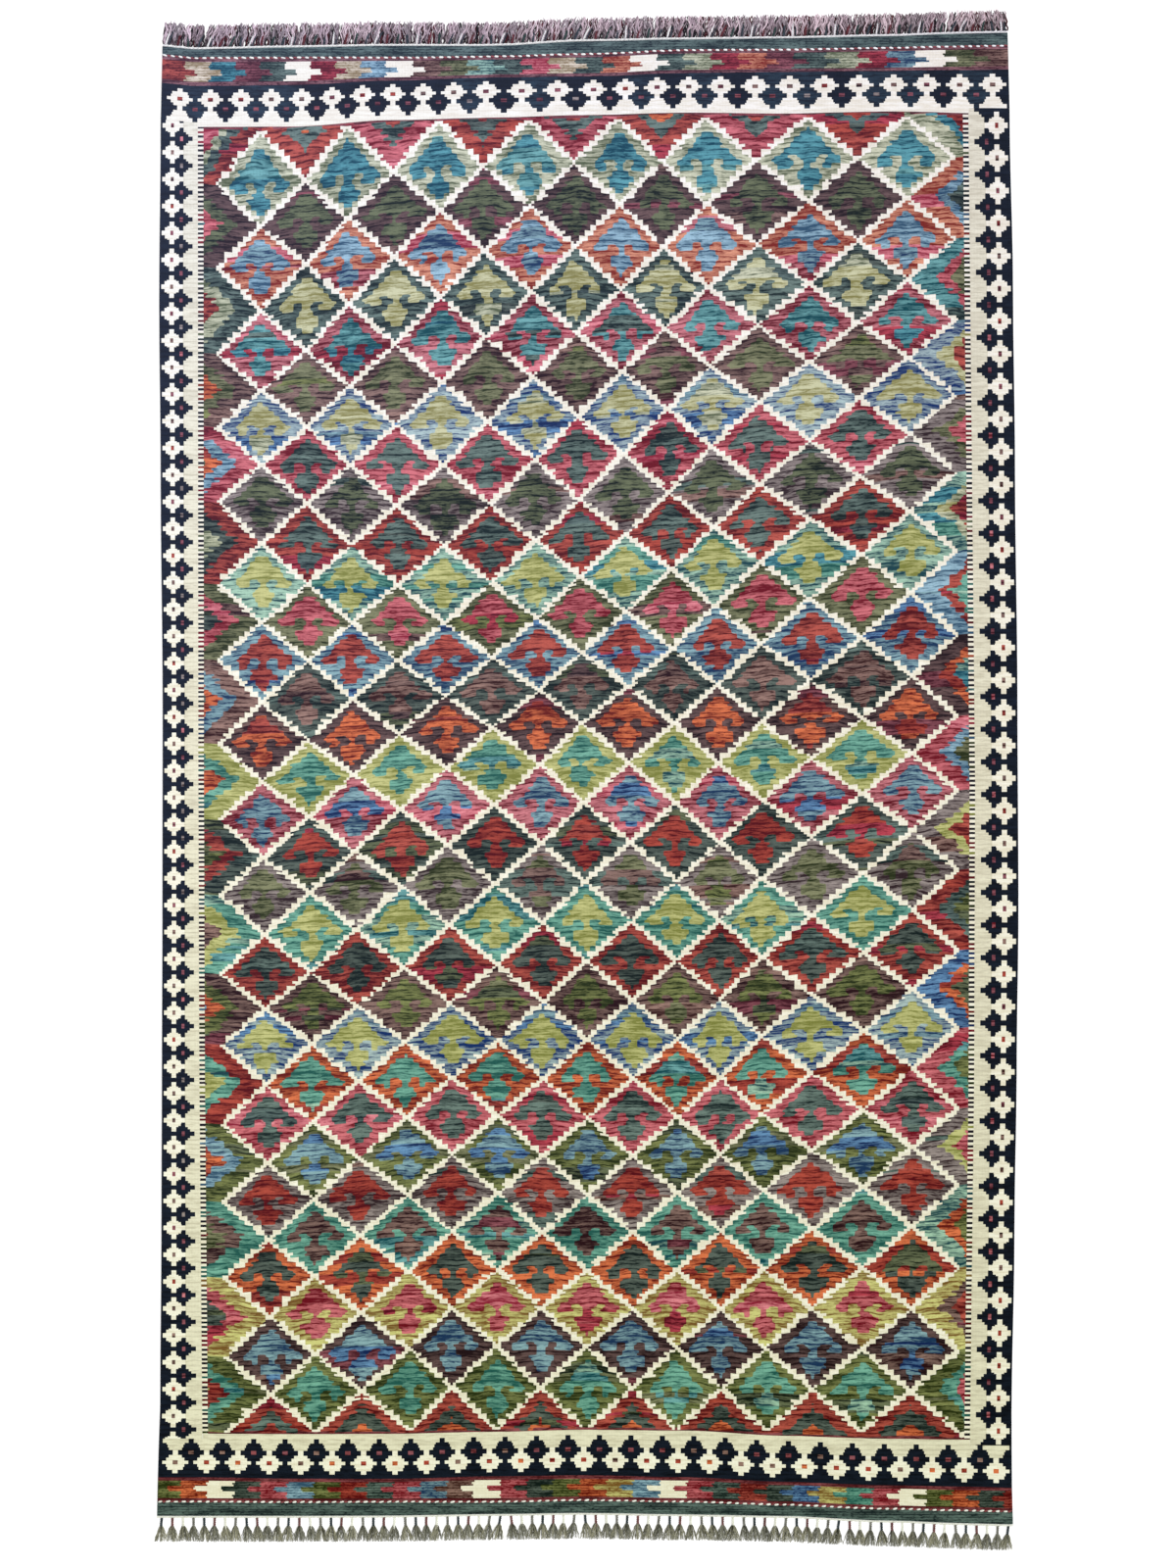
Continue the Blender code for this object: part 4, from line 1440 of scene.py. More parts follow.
@dataclass
class EndBorder(FlowerBorder):
    """The flower border across one end of the field."""

    end: End = End.TOP
    # the lower border is made lighter
    lower_border_lighter: float = 0.24
    cut_at: float = 0.78             # near where the side borders meet the end border
    hug: int = 12                    # how narrow a strip is drawn out to the selvedge
    weave_slip: float = 1.5          # so that its wefts do not repeat those of the field

    def lot(self) -> int:
        """A number of its own for each border."""
        return 2 + self.end.value

    def build(self) -> bpy.types.Object:
        """Weave the border.

        Returns:
            The piece.
        """
        luck = np.random.default_rng(SEED + 10 + self.end.value)
        stations = END_FLOWERS[self.end]
        numbers = [row.number for row in stations]
        places = [row.place * MM for row in stations]
        self.first_flower, self.last_flower = numbers[1], numbers[-2]
        self.dots_from, self.dots_to = numbers[1], numbers[-2]
        self.flowers = END_FLOWER_CHART
        if self.end is End.TOP:
            self.band_yarn, self.navy_yarns = Yarn.CREAM, (Yarn.NAVY, Yarn.FADED_NAVY)
            self.navy_dots = (Yarn.MULBERRY, Yarn.MAUVE_GREY, Yarn.MULBERRY, Yarn.DARK_RED)
        else:
            self.cream_dots = (Yarn.PLUM_BROWN, Yarn.CRIMSON, Yarn.ORANGE, Yarn.BROWN)
            self.navy_dots = (Yarn.DARK_RED, Yarn.BROWN, Yarn.MULBERRY, Yarn.DARK_RED)
        cells = np.arange(numbers[0] * FLOWER_CELLS, numbers[-1] * FLOWER_CELLS + 1) / FLOWER_CELLS
        at = self.ground.line(self.end, "flowers", np.array([-self.cut_at, self.cut_at]))
        cuts = [np.interp(float(border_inner(side, y)), places, numbers) for side, y in zip(Side, at)]
        cells = np.sort(np.concatenate((cells, cuts, cuts)))
        left_cut, right_cut = np.searchsorted(cells, cuts)
        outside = (np.arange(len(cells)) <= left_cut) | (np.arange(len(cells)) > right_cut)
        x_line = np.interp(cells, numbers, places)
        medley = self.ground.line(self.end, "medley", x_line)
        x_line = np.clip(x_line, self.ground.selvedge(Side.LEFT, medley),
                         self.ground.selvedge(Side.RIGHT, medley))
        x, share = np.meshgrid(x_line, self.rows())
        share = np.where(outside[None, :], np.minimum(share, CORNER_SHARE), share)
        outer = self.ground.line(self.end, "medley", x)
        inner = self.ground.line(self.end, "flowers", x)
        y = outer + share * (inner - outer)
        left, right = x_line.min(), x_line.max()
        spread = (x - left) / (right - left)
        x = (x + (1.0 - spread) ** self.hug * (self.ground.selvedge(Side.LEFT, y) - left)
             + spread ** self.hug * (self.ground.selvedge(Side.RIGHT, y) - right))
        codes = self.chart(cells)
        z = self.heights(codes, x, y)
        shade = plain_shade(codes, luck) + (self.lower_border_lighter if self.end is End.BOTTOM else 0.0)
        patch = Patch(x, y, z, self.end.value * self.weave_slip + y, codes, shade)
        return self.loom.cloth("flower_border_" + self.end.name.lower(), [patch])


@dataclass
class SideBorder(FlowerBorder):
    """The flower border along one side, with the comb of short teeth that joins it to the field."""

    side: Side = Side.LEFT
    diamonds: DiamondField | None = None
    band_shade: float = 0.22     # the left border is made a little lighter
    tooth_share: float = 0.50
    # painted shade: the field's yarn in the dark teeth runs at its darkest
    tooth_shade: float = 0.02
    stub_to: float = -0.35       # the left border starts with plain cream at the upper corner
    before: int = 2              # flowers ahead of the first and past the last, which the ends cut off
    beyond: int = 3
    settle: int = 3              # passes that bring x and y of a slanting edge together
    comb_cells: int = 3
    tooth_slip: float = 0.12
    tooth_uneven: float = 0.06
    shadow_share: float = 0.5    # of the teeth, how many are in shadow

    def lot(self) -> int:
        """A number of its own for each border."""
        return 6 + self.side.value

    def build(self) -> list:
        """Weave the border in an upper and a lower half.

        Returns:
            The pieces.
        """
        luck = np.random.default_rng(SEED + 20 + self.side.value)
        stations = SIDE_FLOWERS[self.side]
        pitch = (stations[0].place - stations[1].place) * MM / stations[1].number
        self.dots_to = int(stations[1].number)
        cells = np.arange(-self.before * FLOWER_CELLS,
                          (self.dots_to + self.beyond) * FLOWER_CELLS + 1) / FLOWER_CELLS
        y_line = stations[0].place * MM - cells * pitch
        codes = self.chart(cells).T
        if self.side is Side.LEFT:
            stub = 0.5 * (cells[:-1] + cells[1:]) < self.stub_to
            codes[stub, :2] = YARN_CODE[Yarn.NAVY]
            codes[stub, 2:] = YARN_CODE[Yarn.CREAM]
        share, y = np.meshgrid(self.rows(), y_line)
        for _ in range(self.settle):
            outer = self.ground.selvedge(self.side, y)
            x = outer + share * (border_inner(self.side, y) - outer)
            y = np.clip(y, self.corner_line(End.BOTTOM, x), self.corner_line(End.TOP, x))
        z = self.heights(codes, x, y)
        pieces = []
        half = int(np.argmin(np.abs(y_line)))
        for name, low_row, high_row in (("upper", 0, half), ("lower", half, len(y_line) - 1)):
            span = slice(low_row, high_row + 1)
            part = codes[low_row:high_row]
            shade = plain_shade(part, luck) + (self.band_shade if self.side is Side.LEFT else 0.0)
            flowers = Patch(x[span], y[span], z[span], y[span], part, shade, BORDER_BAKE)
            comb = self.comb(y_line[low_row], y_line[high_row], luck)
            pieces.append(self.loom.cloth("side_border_%s_%s" % (self.side.name.lower(), name),
                                          [flowers, comb]))
        return pieces

    def comb(self, high: float, low: float, luck: np.random.Generator) -> Patch:
        """The short teeth beside the field: cream, and dark teeth in the yarn that the field has there, at
        its darkest as painted shade; about half take SHADOW instead, as painted shadow.

        Args:
            high: upper end of this run.
            low: its lower end.
            luck: random numbers.

        Returns:
            The patch.
        """
        teeth = int(round((high - low) / COMB_PITCH[self.side]))
        start = np.linspace(high, low, teeth + 1)
        pitch = start[0] - start[1]
        start[1:-1] += pitch * luck.uniform(-self.tooth_slip, self.tooth_slip, teeth - 1)
        uneven = luck.uniform(-self.tooth_uneven, self.tooth_uneven, teeth)
        stop = start[:-1] - pitch * (self.tooth_share + uneven)
        y_line = np.sort(np.concatenate((start, stop)))[::-1]
        share, y = np.meshgrid(np.linspace(0.0, 1.0, self.comb_cells + 1), y_line)
        for _ in range(self.settle):
            x = border_inner(self.side, y, 0.0) + self.side.value * COMB_WIDE * (1.0 - share)
            y = np.clip(y, self.ground.line(End.BOTTOM, "flowers", x),
                        self.ground.line(End.TOP, "flowers", x))
        codes = np.full((2 * teeth, self.comb_cells), YARN_CODE[Yarn.CREAM])
        codes[::2] = self.diamonds.edge_yarn(self.side, 0.5 * (start[:-1] + stop))[:, None]
        codes[::2][luck.random(teeth) < self.shadow_share] = YARN_CODE[Yarn.SHADOW]
        z = self.heights(codes, x, y)
        shade = np.full(codes.shape, PLAIN_SHADE)
        # painted shade on the dark teeth
        shade[::2] = self.tooth_shade
        return Patch(x, y, z, y, codes, shade, COMB_BAKE)


@dataclass
class EndPanel(Web):
    """The plain skirt and the medley of colour blocks beyond the flower border at one end."""

    join_deep: float = 0.2 * MM
    end: End = End.TOP
    columns: int = 620
    skirt_rows: int = 6
    medley_rows: int = 14
    line_rows: int = 2
    medley_shade: float = -0.16
    start_half: float = 0.87         # half the cloth's width, before its selvedges are felt
    settle: int = 2
    block_slip: float = 0.06

    def build(self) -> bpy.types.Object:
        """Weave the panel.

        Returns:
            The piece.
        """
        luck = np.random.default_rng(SEED + 30 + self.end.value)
        across = np.linspace(-1.0, 1.0, self.columns + 1)
        shares = np.concatenate((np.linspace(0, 1, self.skirt_rows + 1),
                                 1.0 + np.linspace(0, 1, self.medley_rows + 1)[1:]))
        u, share = np.meshgrid(across, shares)
        x = self.start_half * u
        for _ in range(self.settle):
            cord = self.ground.end(self.end, x)
            skirt = self.ground.line(self.end, "skirt", x)
            medley = self.ground.line(self.end, "medley", x)
            y = np.where(share <= 1.0, cord + share * (skirt - cord),
                         skirt + (share - 1.0) * (medley - skirt))
            left = self.ground.selvedge(Side.LEFT, y)
            right = self.ground.selvedge(Side.RIGHT, y)
            x = 0.5 * (left + right) + 0.5 * u * (right - left)
        codes = self.chart(x, luck)
        z = self.heights(codes, x, y)
        shade = plain_shade(codes, luck)
        shade[self.skirt_rows:] += self.medley_shade
        return self.loom.cloth("end_panel_" + self.end.name.lower(), [Patch(x, y, z, y, codes, shade)])

    def chart(self, x: np.ndarray, luck: np.random.Generator) -> np.ndarray:
        """Choose the yarn of every cell of the panel."""
        rows, columns = x.shape[0] - 1, x.shape[1] - 1
        codes = np.full((rows, columns), YARN_CODE[Yarn.SKIRT])
        middle = 0.5 * (x[:-1, :-1] + x[1:, 1:])
        stations = MEDLEY_STATIONS[self.end]
        yarns = np.array([YARN_CODE[yarn] for yarn in MEDLEY_YARNS[self.end]])
        line_yarn = YARN_CODE[Yarn.HEATHER if self.end is End.TOP else Yarn.DARK_RED]
        for row in range(self.medley_rows):
            third = int(3.0 * (row - self.line_rows) / (self.medley_rows - 2 * self.line_rows))
            block = np.interp(middle[self.skirt_rows + row], [s.place * MM for s in stations],
                              [s.number for s in stations])
            if third == 1:
                block = block - MEDLEY_TONGUE[self.end]
            block = block + luck.uniform(-self.block_slip, self.block_slip)
            inside = self.line_rows <= row < self.medley_rows - self.line_rows
            line = yarns[np.clip(np.floor(block).astype(int), 0, len(yarns) - 1)]
            codes[self.skirt_rows + row] = line if inside else line_yarn
        return codes


class FringeLook(NamedTuple):
    """How the tassels of one end are made; sizes in metres, counts of strands to a tassel."""

    length: float
    left_share: float
    neck_long: float
    neck_wide: float
    neck_lean: float
    fleece_from: float
    fleece_strands: int
    pads: int
    pad_wide: float
    root_spread: float
    tip_spread: float
    flare: float
    wave_high: float
    wave_long: float
    thick_root: float
    thick_tip: float
    strand_wide: float
    ragged: float
    gather: float
    # painted shade: strands run from root_shade, dark near the cord, to tip_shade at their tips
    root_shade: float
    tip_shade: float
    necks: tuple
    fleeces: tuple


FRINGE_LOOKS = {
    End.TOP: FringeLook(
        length=0.0430, left_share=1.12, neck_long=0.026, neck_wide=0.0072, neck_lean=0.011, fleece_from=0.0,
        fleece_strands=12, pads=7, pad_wide=0.0050, root_spread=0.011, tip_spread=0.0225, flare=0.7,
        wave_high=0.0030, wave_long=0.032, thick_root=0.0042, thick_tip=0.0022, strand_wide=0.0032,
        ragged=0.0036, gather=0.0034, root_shade=0.30, tip_shade=0.86,
        necks=((Y.CORD_WHITE, Y.NECK_SLATE), (Y.NECK_MAROON,), (Y.NECK_GREEN,), (Y.NECK_SLATE,)),
        fleeces=(Y.FLEECE_PINK, Y.FLEECE_MAUVE, Y.FLEECE_PINK, Y.FLEECE_SLATE),
    ),
    End.BOTTOM: FringeLook(
        length=0.0495, left_share=1.0, neck_long=0.026, neck_wide=0.0072, neck_lean=0.0, fleece_from=0.0165,
        fleece_strands=38, pads=0, pad_wide=0.0, root_spread=0.0054, tip_spread=0.0272, flare=0.74,
        wave_high=0.0009, wave_long=0.011, thick_root=0.0040, thick_tip=0.0020, strand_wide=0.0016,
        ragged=0.0014, gather=0.0044, root_shade=0.40, tip_shade=0.66,
        necks=((Y.NECK_SLATE,), (Y.NECK_ROSE,), (Y.CORD_WHITE,), (Y.NECK_GREY,)),
        fleeces=(Y.FLEECE_OLIVE, Y.FLEECE_GREY, Y.FLEECE_OLIVE, Y.FLEECE_GREY),
    ),
}


class Skein(NamedTuple):
    """Yarns of one kind: a run of centre points and radii for each, a yarn code and shades.

    flat is how high they stand, as a share of how wide they are.
    """

    paths: np.ndarray
    radii: np.ndarray
    codes: np.ndarray
    shades: np.ndarray
    flat: float = 1.0


def unit(vectors: np.ndarray) -> np.ndarray:
    """Vectors of the same directions, one metre long."""
    return vectors / np.maximum(np.linalg.norm(vectors, axis=2, keepdims=True), TINY)


@dataclass
class Spinner:
    """Turns runs of yarn into one mesh piece of closed four-sided strands."""

    loom: Loom
    sides: int = 4
    bake_columns: int = 52
    bake_from: float = 0.1           # a strand's place in its own cell of the bake
    bake_share: float = 0.8
    dye_along: float = 0.137         # metres of dye between one strand and the next
    dye_across: float = 0.031
    dye_round: float = 0.0004

    def piece(self, name: str, skeins: list) -> bpy.types.Object:
        """Build the piece.

        Args:
            name: the piece's name.
            skeins: its yarns.

        Returns:
            The new object.
        """
        rows = math.ceil(sum(len(skein.codes) for skein in skeins) / self.bake_columns)
        parts = []
        first = 0
        for skein in skeins:
            parts.append(self.strands(skein, first, rows))
            first += len(skein.codes)
        return self.loom.piece(name, parts)

    def strands(self, skein: Skein, first: int, rows: int) -> Part:
        """Turn one skein into closed strands.

        Args:
            skein: its yarns.
            first: how many strands the piece has before it.
            rows: rows of strands in the bake.

        Returns:
            The part.
        """
        count, rings = skein.radii.shape
        way = unit(np.gradient(skein.paths, axis=1))
        aside = unit(np.cross(way, (0.0, 0.0, 1.0)))
        above = np.cross(aside, way)
        turn = 2.0 * math.pi * (np.arange(self.sides) + 0.5) / self.sides
        ring = aside[:, :, None] * np.cos(turn)[:, None] + above[:, :, None] * np.sin(turn)[:, None]
        ring = ring * skein.radii[:, :, None, None] * np.array((1.0, 1.0, skein.flat))
        points = (skein.paths[:, :, None] + ring).reshape(-1, 3)
        index = np.arange(len(points)).reshape(count, rings, self.sides)
        here, beyond = index[:, :-1], index[:, 1:]
        quads = np.stack((here, beyond, np.roll(beyond, -1, axis=2), np.roll(here, -1, axis=2)),
                         axis=-1).reshape(count, -1, 4)
        caps = np.stack((index[:, 0], index[:, -1, ::-1]), axis=1)
        quads = np.concatenate((quads, caps), axis=1)
        body = np.repeat(0.5 * (skein.shades[:, :-1] + skein.shades[:, 1:]), self.sides, axis=1)
        shades = np.concatenate((body, skein.shades[:, :1], skein.shades[:, -1:]), axis=1)
        number, side = (first + np.arange(count))[:, None, None], np.arange(self.sides)
        u = (number % self.bake_columns + self.bake_from
             + self.bake_share * side / self.sides) / self.bake_columns
        v = (number // self.bake_columns + self.bake_from
             + self.bake_share * np.linspace(0, 1, rings)[:, None]) / rows
        bake = np.stack(np.broadcast_arrays(u, v), axis=-1)
        step = np.linalg.norm(np.diff(skein.paths, axis=1), axis=2)
        run = np.concatenate((np.zeros((count, 1)), np.cumsum(step, axis=1)), axis=1)[:, :, None]
        weave = np.stack(np.broadcast_arrays(
            run + self.dye_along * number,
            self.dye_across * number + self.dye_round * side), axis=-1)
        return Part(points, quads.reshape(-1, 4), np.repeat(skein.codes, quads.shape[1]),
                    shades.reshape(-1), bake.reshape(-1, 2), weave.reshape(-1, 2))


@dataclass
class Fringe:
    """The knotted fringe of one end: a twisted locking cord and a row of tassels."""

    ground: Ground
    spinner: Spinner
    end: End = End.TOP
    tassels: int = 81
    end_margin: float = 9.5 * MM
    seam_gap: float = 0.3 * MM
    cord_wide: float = 4.5 * MM
    cord_high: float = 3.5 * MM
    cord_pitch: float = 17.0 * MM
    cord_rings: int = 12
    strand_rings: int = 7
    cord_yarn: float = 0.27              # radius of each of the cord's yarns, in cord widths
    cord_swing: float = 0.8              # how far they swing out, in their radii
    cord_shade: float = 0.7
    tuck: float = 0.6 * MM               # how far a tassel's root lies under the cord
    group: int = 5                       # the most tassels that flow together
    group_shake: float = 0.3
    lean_curve: float = 1.15
    slant_curve: float = 1.2
    slant_share: tuple = (0.2, 1.1)      # shares like this one are drawn between their two numbers
    plies: int = 3
    ply_pitch: float = 14.0 * MM
    neck_apart: float = 0.8              # between two necks side by side, in neck widths
    neck_drop: float = 0.3 * MM
    neck_shade: float = 0.5
    neck_shake: float = 0.2
    short_odds: tuple = (1.0, 6.0)       # most strands are nearly full length
    short_share: float = 0.3
    ragged_share: tuple = (-1.0, 0.5)
    stray: float = 0.2                   # how far a strand crosses its neighbours
    wave_share: tuple = (0.7, 1.3)
    wave_from: float = 0.2
    pad_room: float = 0.9 * MM
    strand_share: tuple = (0.8, 1.25)
    strand_shake: float = 0.42
    own_dye: float = 0.75                # share of the strands that keep the tassel's own yarn
    pad_spread: float = 21.5 * MM
    pad_share: tuple = (0.84, 0.95)
    pad_uneven: tuple = (0.85, 1.15)
    pad_shake: float = 0.1
    pad_wave: float = 16.0 * MM
    pad_flat: float = 0.36
    pad_lift: float = 0.1 * MM
    # painted shade: the locks are dark near the root and lighter from here on
    pad_light_from: float = 0.45
    pad_light: float = 0.75
    pad_shades: tuple = (-0.1, 0.2)

    def build(self) -> bpy.types.Object:
        """Make the fringe.

        Returns:
            The piece.
        """
        luck = np.random.default_rng(SEED + 40 + self.end.value)
        look = FRINGE_LOOKS[self.end]
        low, high = (float(corner[0]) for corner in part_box(FRINGE_NODES[self.end.name.lower()]))
        roots = np.linspace(low + self.end_margin, high - self.end_margin, self.tassels)
        skeins = [self.cord(low, high)]
        leans = self.leans(look, luck)
        leans[:2], leans[-2:] = np.minimum(leans[:2], 0.0), np.minimum(leans[-2:], -look.neck_lean)
        for number, root in enumerate(roots):
            skeins += self.tassel(look, number, float(root), float(leans[number]), luck)
        piece = self.spinner.piece("%s_tassels" % FRINGE_NODES[self.end.name.lower()], skeins)
        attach(piece, "root")
        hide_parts(FRINGE_NODES[self.end.name.lower()])
        return piece

    def leans(self, look: FringeLook, luck: np.random.Generator) -> np.ndarray:
        """How far each tassel's tip leans: neighbours flow together in small groups."""
        leans = np.zeros(self.tassels)
        start = 0
        while start < self.tassels:
            size = int(luck.integers(1, self.group + 1))
            stop = min(start + size, self.tassels)
            inside = np.arange(stop - start) - 0.5 * (stop - start - 1)
            leans[start:stop] = -inside * 0.5 * look.gather + luck.uniform(-1.0, 1.0) * look.gather
            start = stop
        return leans + luck.uniform(-self.group_shake, self.group_shake, self.tassels) * look.gather

    def cord(self, low: float, high: float) -> Skein:
        """The white cord that locks the last wefts: two yarns twisted round each other."""
        turns = int((high - low) / self.cord_pitch)
        count = turns * self.cord_rings + 1
        x = np.linspace(low, high, count)
        angle = np.linspace(0.0, 2.0 * math.pi * turns, count)
        radius = self.cord_yarn * self.cord_wide
        paths = []
        for start in (0.0, math.pi):
            swing = radius * self.cord_swing * np.cos(angle + start)
            out = self.seam_gap + 0.5 * self.cord_wide + swing
            y = self.ground.end(self.end, x) + self.end.value * out
            z = 0.5 * self.cord_high + (0.5 * self.cord_high - radius) * np.sin(angle + start)
            paths.append(np.stack((x, y, z), axis=1))
        paths = np.array(paths)
        radii = np.full(paths.shape[:2], radius)
        shades = np.full(paths.shape[:2], self.cord_shade)
        return Skein(paths, radii, np.full(2, YARN_CODE[Yarn.CORD_WHITE]), shades)

    def tassel(self, look: FringeLook, number: int, root: float, lean: float,
               luck: np.random.Generator) -> list:
        """One tassel: its plied neck and the combed fleece that opens from it.

        Args:
            look: sizes and yarns.
            number: which tassel, from the left.
            root: its x at the locking cord.
            lean: how far its tip leans to the right.
            luck: random numbers.

        Returns:
            Its skeins.
        """
        far_left = float(np.clip(0.5 - root / RUG_WIDE, 0.0, 1.0))
        look = look._replace(length=look.length * (1.0 + (look.left_share - 1.0) * far_left))
        start = self.seam_gap + self.cord_wide - self.tuck
        edge = float(self.ground.end(self.end, np.array([root]))[0]) + self.end.value * start
        skeins = self.neck(look, number, root, edge, lean, luck)
        skeins.append(self.fleece(look, root, edge, lean, luck))
        if look.pads:
            skeins.append(self.pad(look, root, edge, lean, luck))
        return skeins

    def neck(self, look: FringeLook, number: int, root: float, edge: float, lean: float,
             luck: np.random.Generator) -> list:
        """The plied neck of one tassel, of one yarn or of two side by side."""
        along = np.linspace(0.0, 1.0, self.strand_rings)
        run = along * look.neck_long * luck.uniform(*UNEVEN)
        yarns = look.necks[number % len(look.necks)]
        slant = look.neck_lean * luck.uniform(*self.slant_share)
        sway = (lean * (run / look.length) ** self.lean_curve
                + slant * (run / look.neck_long) ** self.slant_curve)
        wide = 0.5 * look.neck_wide / math.sqrt(len(yarns))
        thick = 0.5 * wide
        turn = 2.0 * math.pi * (np.arange(self.plies)[:, None] / self.plies + run / self.ply_pitch)
        skeins = []
        for place, yarn in enumerate(yarns):
            middle = root + (place - 0.5 * (len(yarns) - 1)) * self.neck_apart * look.neck_wide
            x = middle + (wide - thick) * np.cos(turn) + sway
            z = look.thick_root - thick + (0.5 * wide - 0.5 * thick) * (np.sin(turn) - 1.0)
            z = z - self.neck_drop * run / look.neck_long
            y = np.broadcast_to(edge + self.end.value * run, x.shape)
            radii = thick * np.interp(along, *NECK_TAPER) + np.zeros(x.shape)
            z = np.maximum(z, radii)
            shake = luck.uniform(-self.neck_shake, self.neck_shake, (self.plies, 1))
            shade = self.neck_shade + shake + np.zeros(x.shape)
            skeins.append(Skein(np.stack((x, y, z), axis=-1), radii,
                                np.full(self.plies, YARN_CODE[yarn]), shade))
        return skeins

    def fleece(self, look: FringeLook, root: float, edge: float, lean: float,
               luck: np.random.Generator) -> Skein:
        """The fine combed strands of one tassel, painted darker towards the root as shade."""
        along = np.linspace(0.0, 1.0, self.strand_rings)
        count = look.fleece_strands
        reach = look.length * (1.0 - luck.beta(*self.short_odds, count)[:, None] * self.short_share)
        reach += look.ragged * luck.uniform(*self.ragged_share, (count, 1))
        run = look.fleece_from + along * (reach - look.fleece_from)
        share = np.clip((run - look.fleece_from) / (look.length - look.fleece_from), 0.0, 1.0)
        place = luck.uniform(-1.0, 1.0, (count, 1))
        spread = 0.5 * (look.root_spread + (look.tip_spread - look.root_spread) * share ** look.flare)
        cross = self.stray * luck.uniform(-1.0, 1.0, (count, 1)) * look.tip_spread * share
        start = luck.random()
        if look.pads:
            start = start + luck.uniform(-self.pad_shake, self.pad_shake, (count, 1))
        else:
            start = start + luck.random((count, 1))
        waves = run / look.wave_long / luck.uniform(*self.wave_share, (count, 1))
        wave = look.wave_high * np.sin(2.0 * math.pi * (waves + start))
        x = root + place * spread + cross + wave * np.minimum(1.0, share / self.wave_from)
        x += (lean + 0.5 * look.neck_lean) * (run / look.length) ** self.lean_curve
        inset = 0.5 * look.strand_wide
        room = self.pad_room if look.pads else 0.0
        high = look.thick_root + (look.thick_tip - look.thick_root) * share - room
        z = inset + luck.uniform(0.0, 1.0, (count, 1)) * (high - 2.0 * inset)
        y = np.broadcast_to(edge + self.end.value * run, x.shape)
        radii = inset * np.interp(along, *FLEECE_TAPER) * luck.uniform(*self.strand_share, (count, 1))
        z = np.maximum(z, radii)
        # painted shade: darker at the root, lighter towards the tips
        shades = look.root_shade + (look.tip_shade - look.root_shade) * share
        shades = shades + luck.uniform(-self.strand_shake, self.strand_shake, (count, 1))
        return Skein(np.stack((x, y, z), axis=-1), np.broadcast_to(radii, x.shape),
                     self.dyes(look, root, count, luck), shades)

    def dyes(self, look: FringeLook, root: float, count: int,
             luck: np.random.Generator) -> np.ndarray:
        """Yarn codes of one tassel's strands: mostly one yarn, with a few strands of the others."""
        kinds = len(look.fleeces)
        main = int(np.random.default_rng((SEED, int(1000 * (root + 2.0)))).integers(0, kinds))
        picks = np.where(luck.random(count) < self.own_dye, main, luck.integers(0, kinds, count))
        return np.array([YARN_CODE[yarn] for yarn in look.fleeces])[picks]

    def pad(self, look: FringeLook, root: float, edge: float, lean: float,
            luck: np.random.Generator) -> Skein:
        """The full, soft locks that lie under the fine strands, painted dark near the root as the shade
        between the lobes; some are of SHADOW.
        """
        along = np.linspace(0.0, 1.0, self.strand_rings)
        count = look.pads
        reach = look.length * luck.uniform(*self.pad_share, (count, 1))
        run = along * reach
        share = run / look.length
        place = ((np.arange(count) + 0.5) / count * 2.0 - 1.0)[:, None]
        place = place + luck.uniform(-self.pad_shake, self.pad_shake, (count, 1))
        x = root + place * 0.5 * self.pad_spread
        x = x + (lean + 0.5 * look.neck_lean) * share ** self.lean_curve
        waves = run / self.pad_wave + luck.random((count, 1))
        x = x + 0.5 * look.wave_high * np.sin(2.0 * math.pi * waves)
        thick = 0.5 * look.pad_wide * np.interp(along, *PAD_TAPER)
        radii = thick * luck.uniform(*self.pad_uneven, (count, 1))
        z = self.pad_flat * radii + self.pad_lift
        y = np.broadcast_to(edge + self.end.value * run, x.shape)
        shades = self.pad_light * np.clip(share - self.pad_light_from, 0.0, 1.0)
        shades = shades + luck.uniform(*self.pad_shades, (count, 1))
        # SHADOW here is painted shadow between the lobes
        yarns = [YARN_CODE[yarn] for yarn in (Yarn.SHADOW, Yarn.NECK_MAROON, Yarn.FLEECE_MAUVE)]
        codes = np.array(yarns)[luck.integers(0, len(yarns), count)]
        return Skein(np.stack((x, y, z), axis=-1), radii, codes, shades, self.pad_flat)


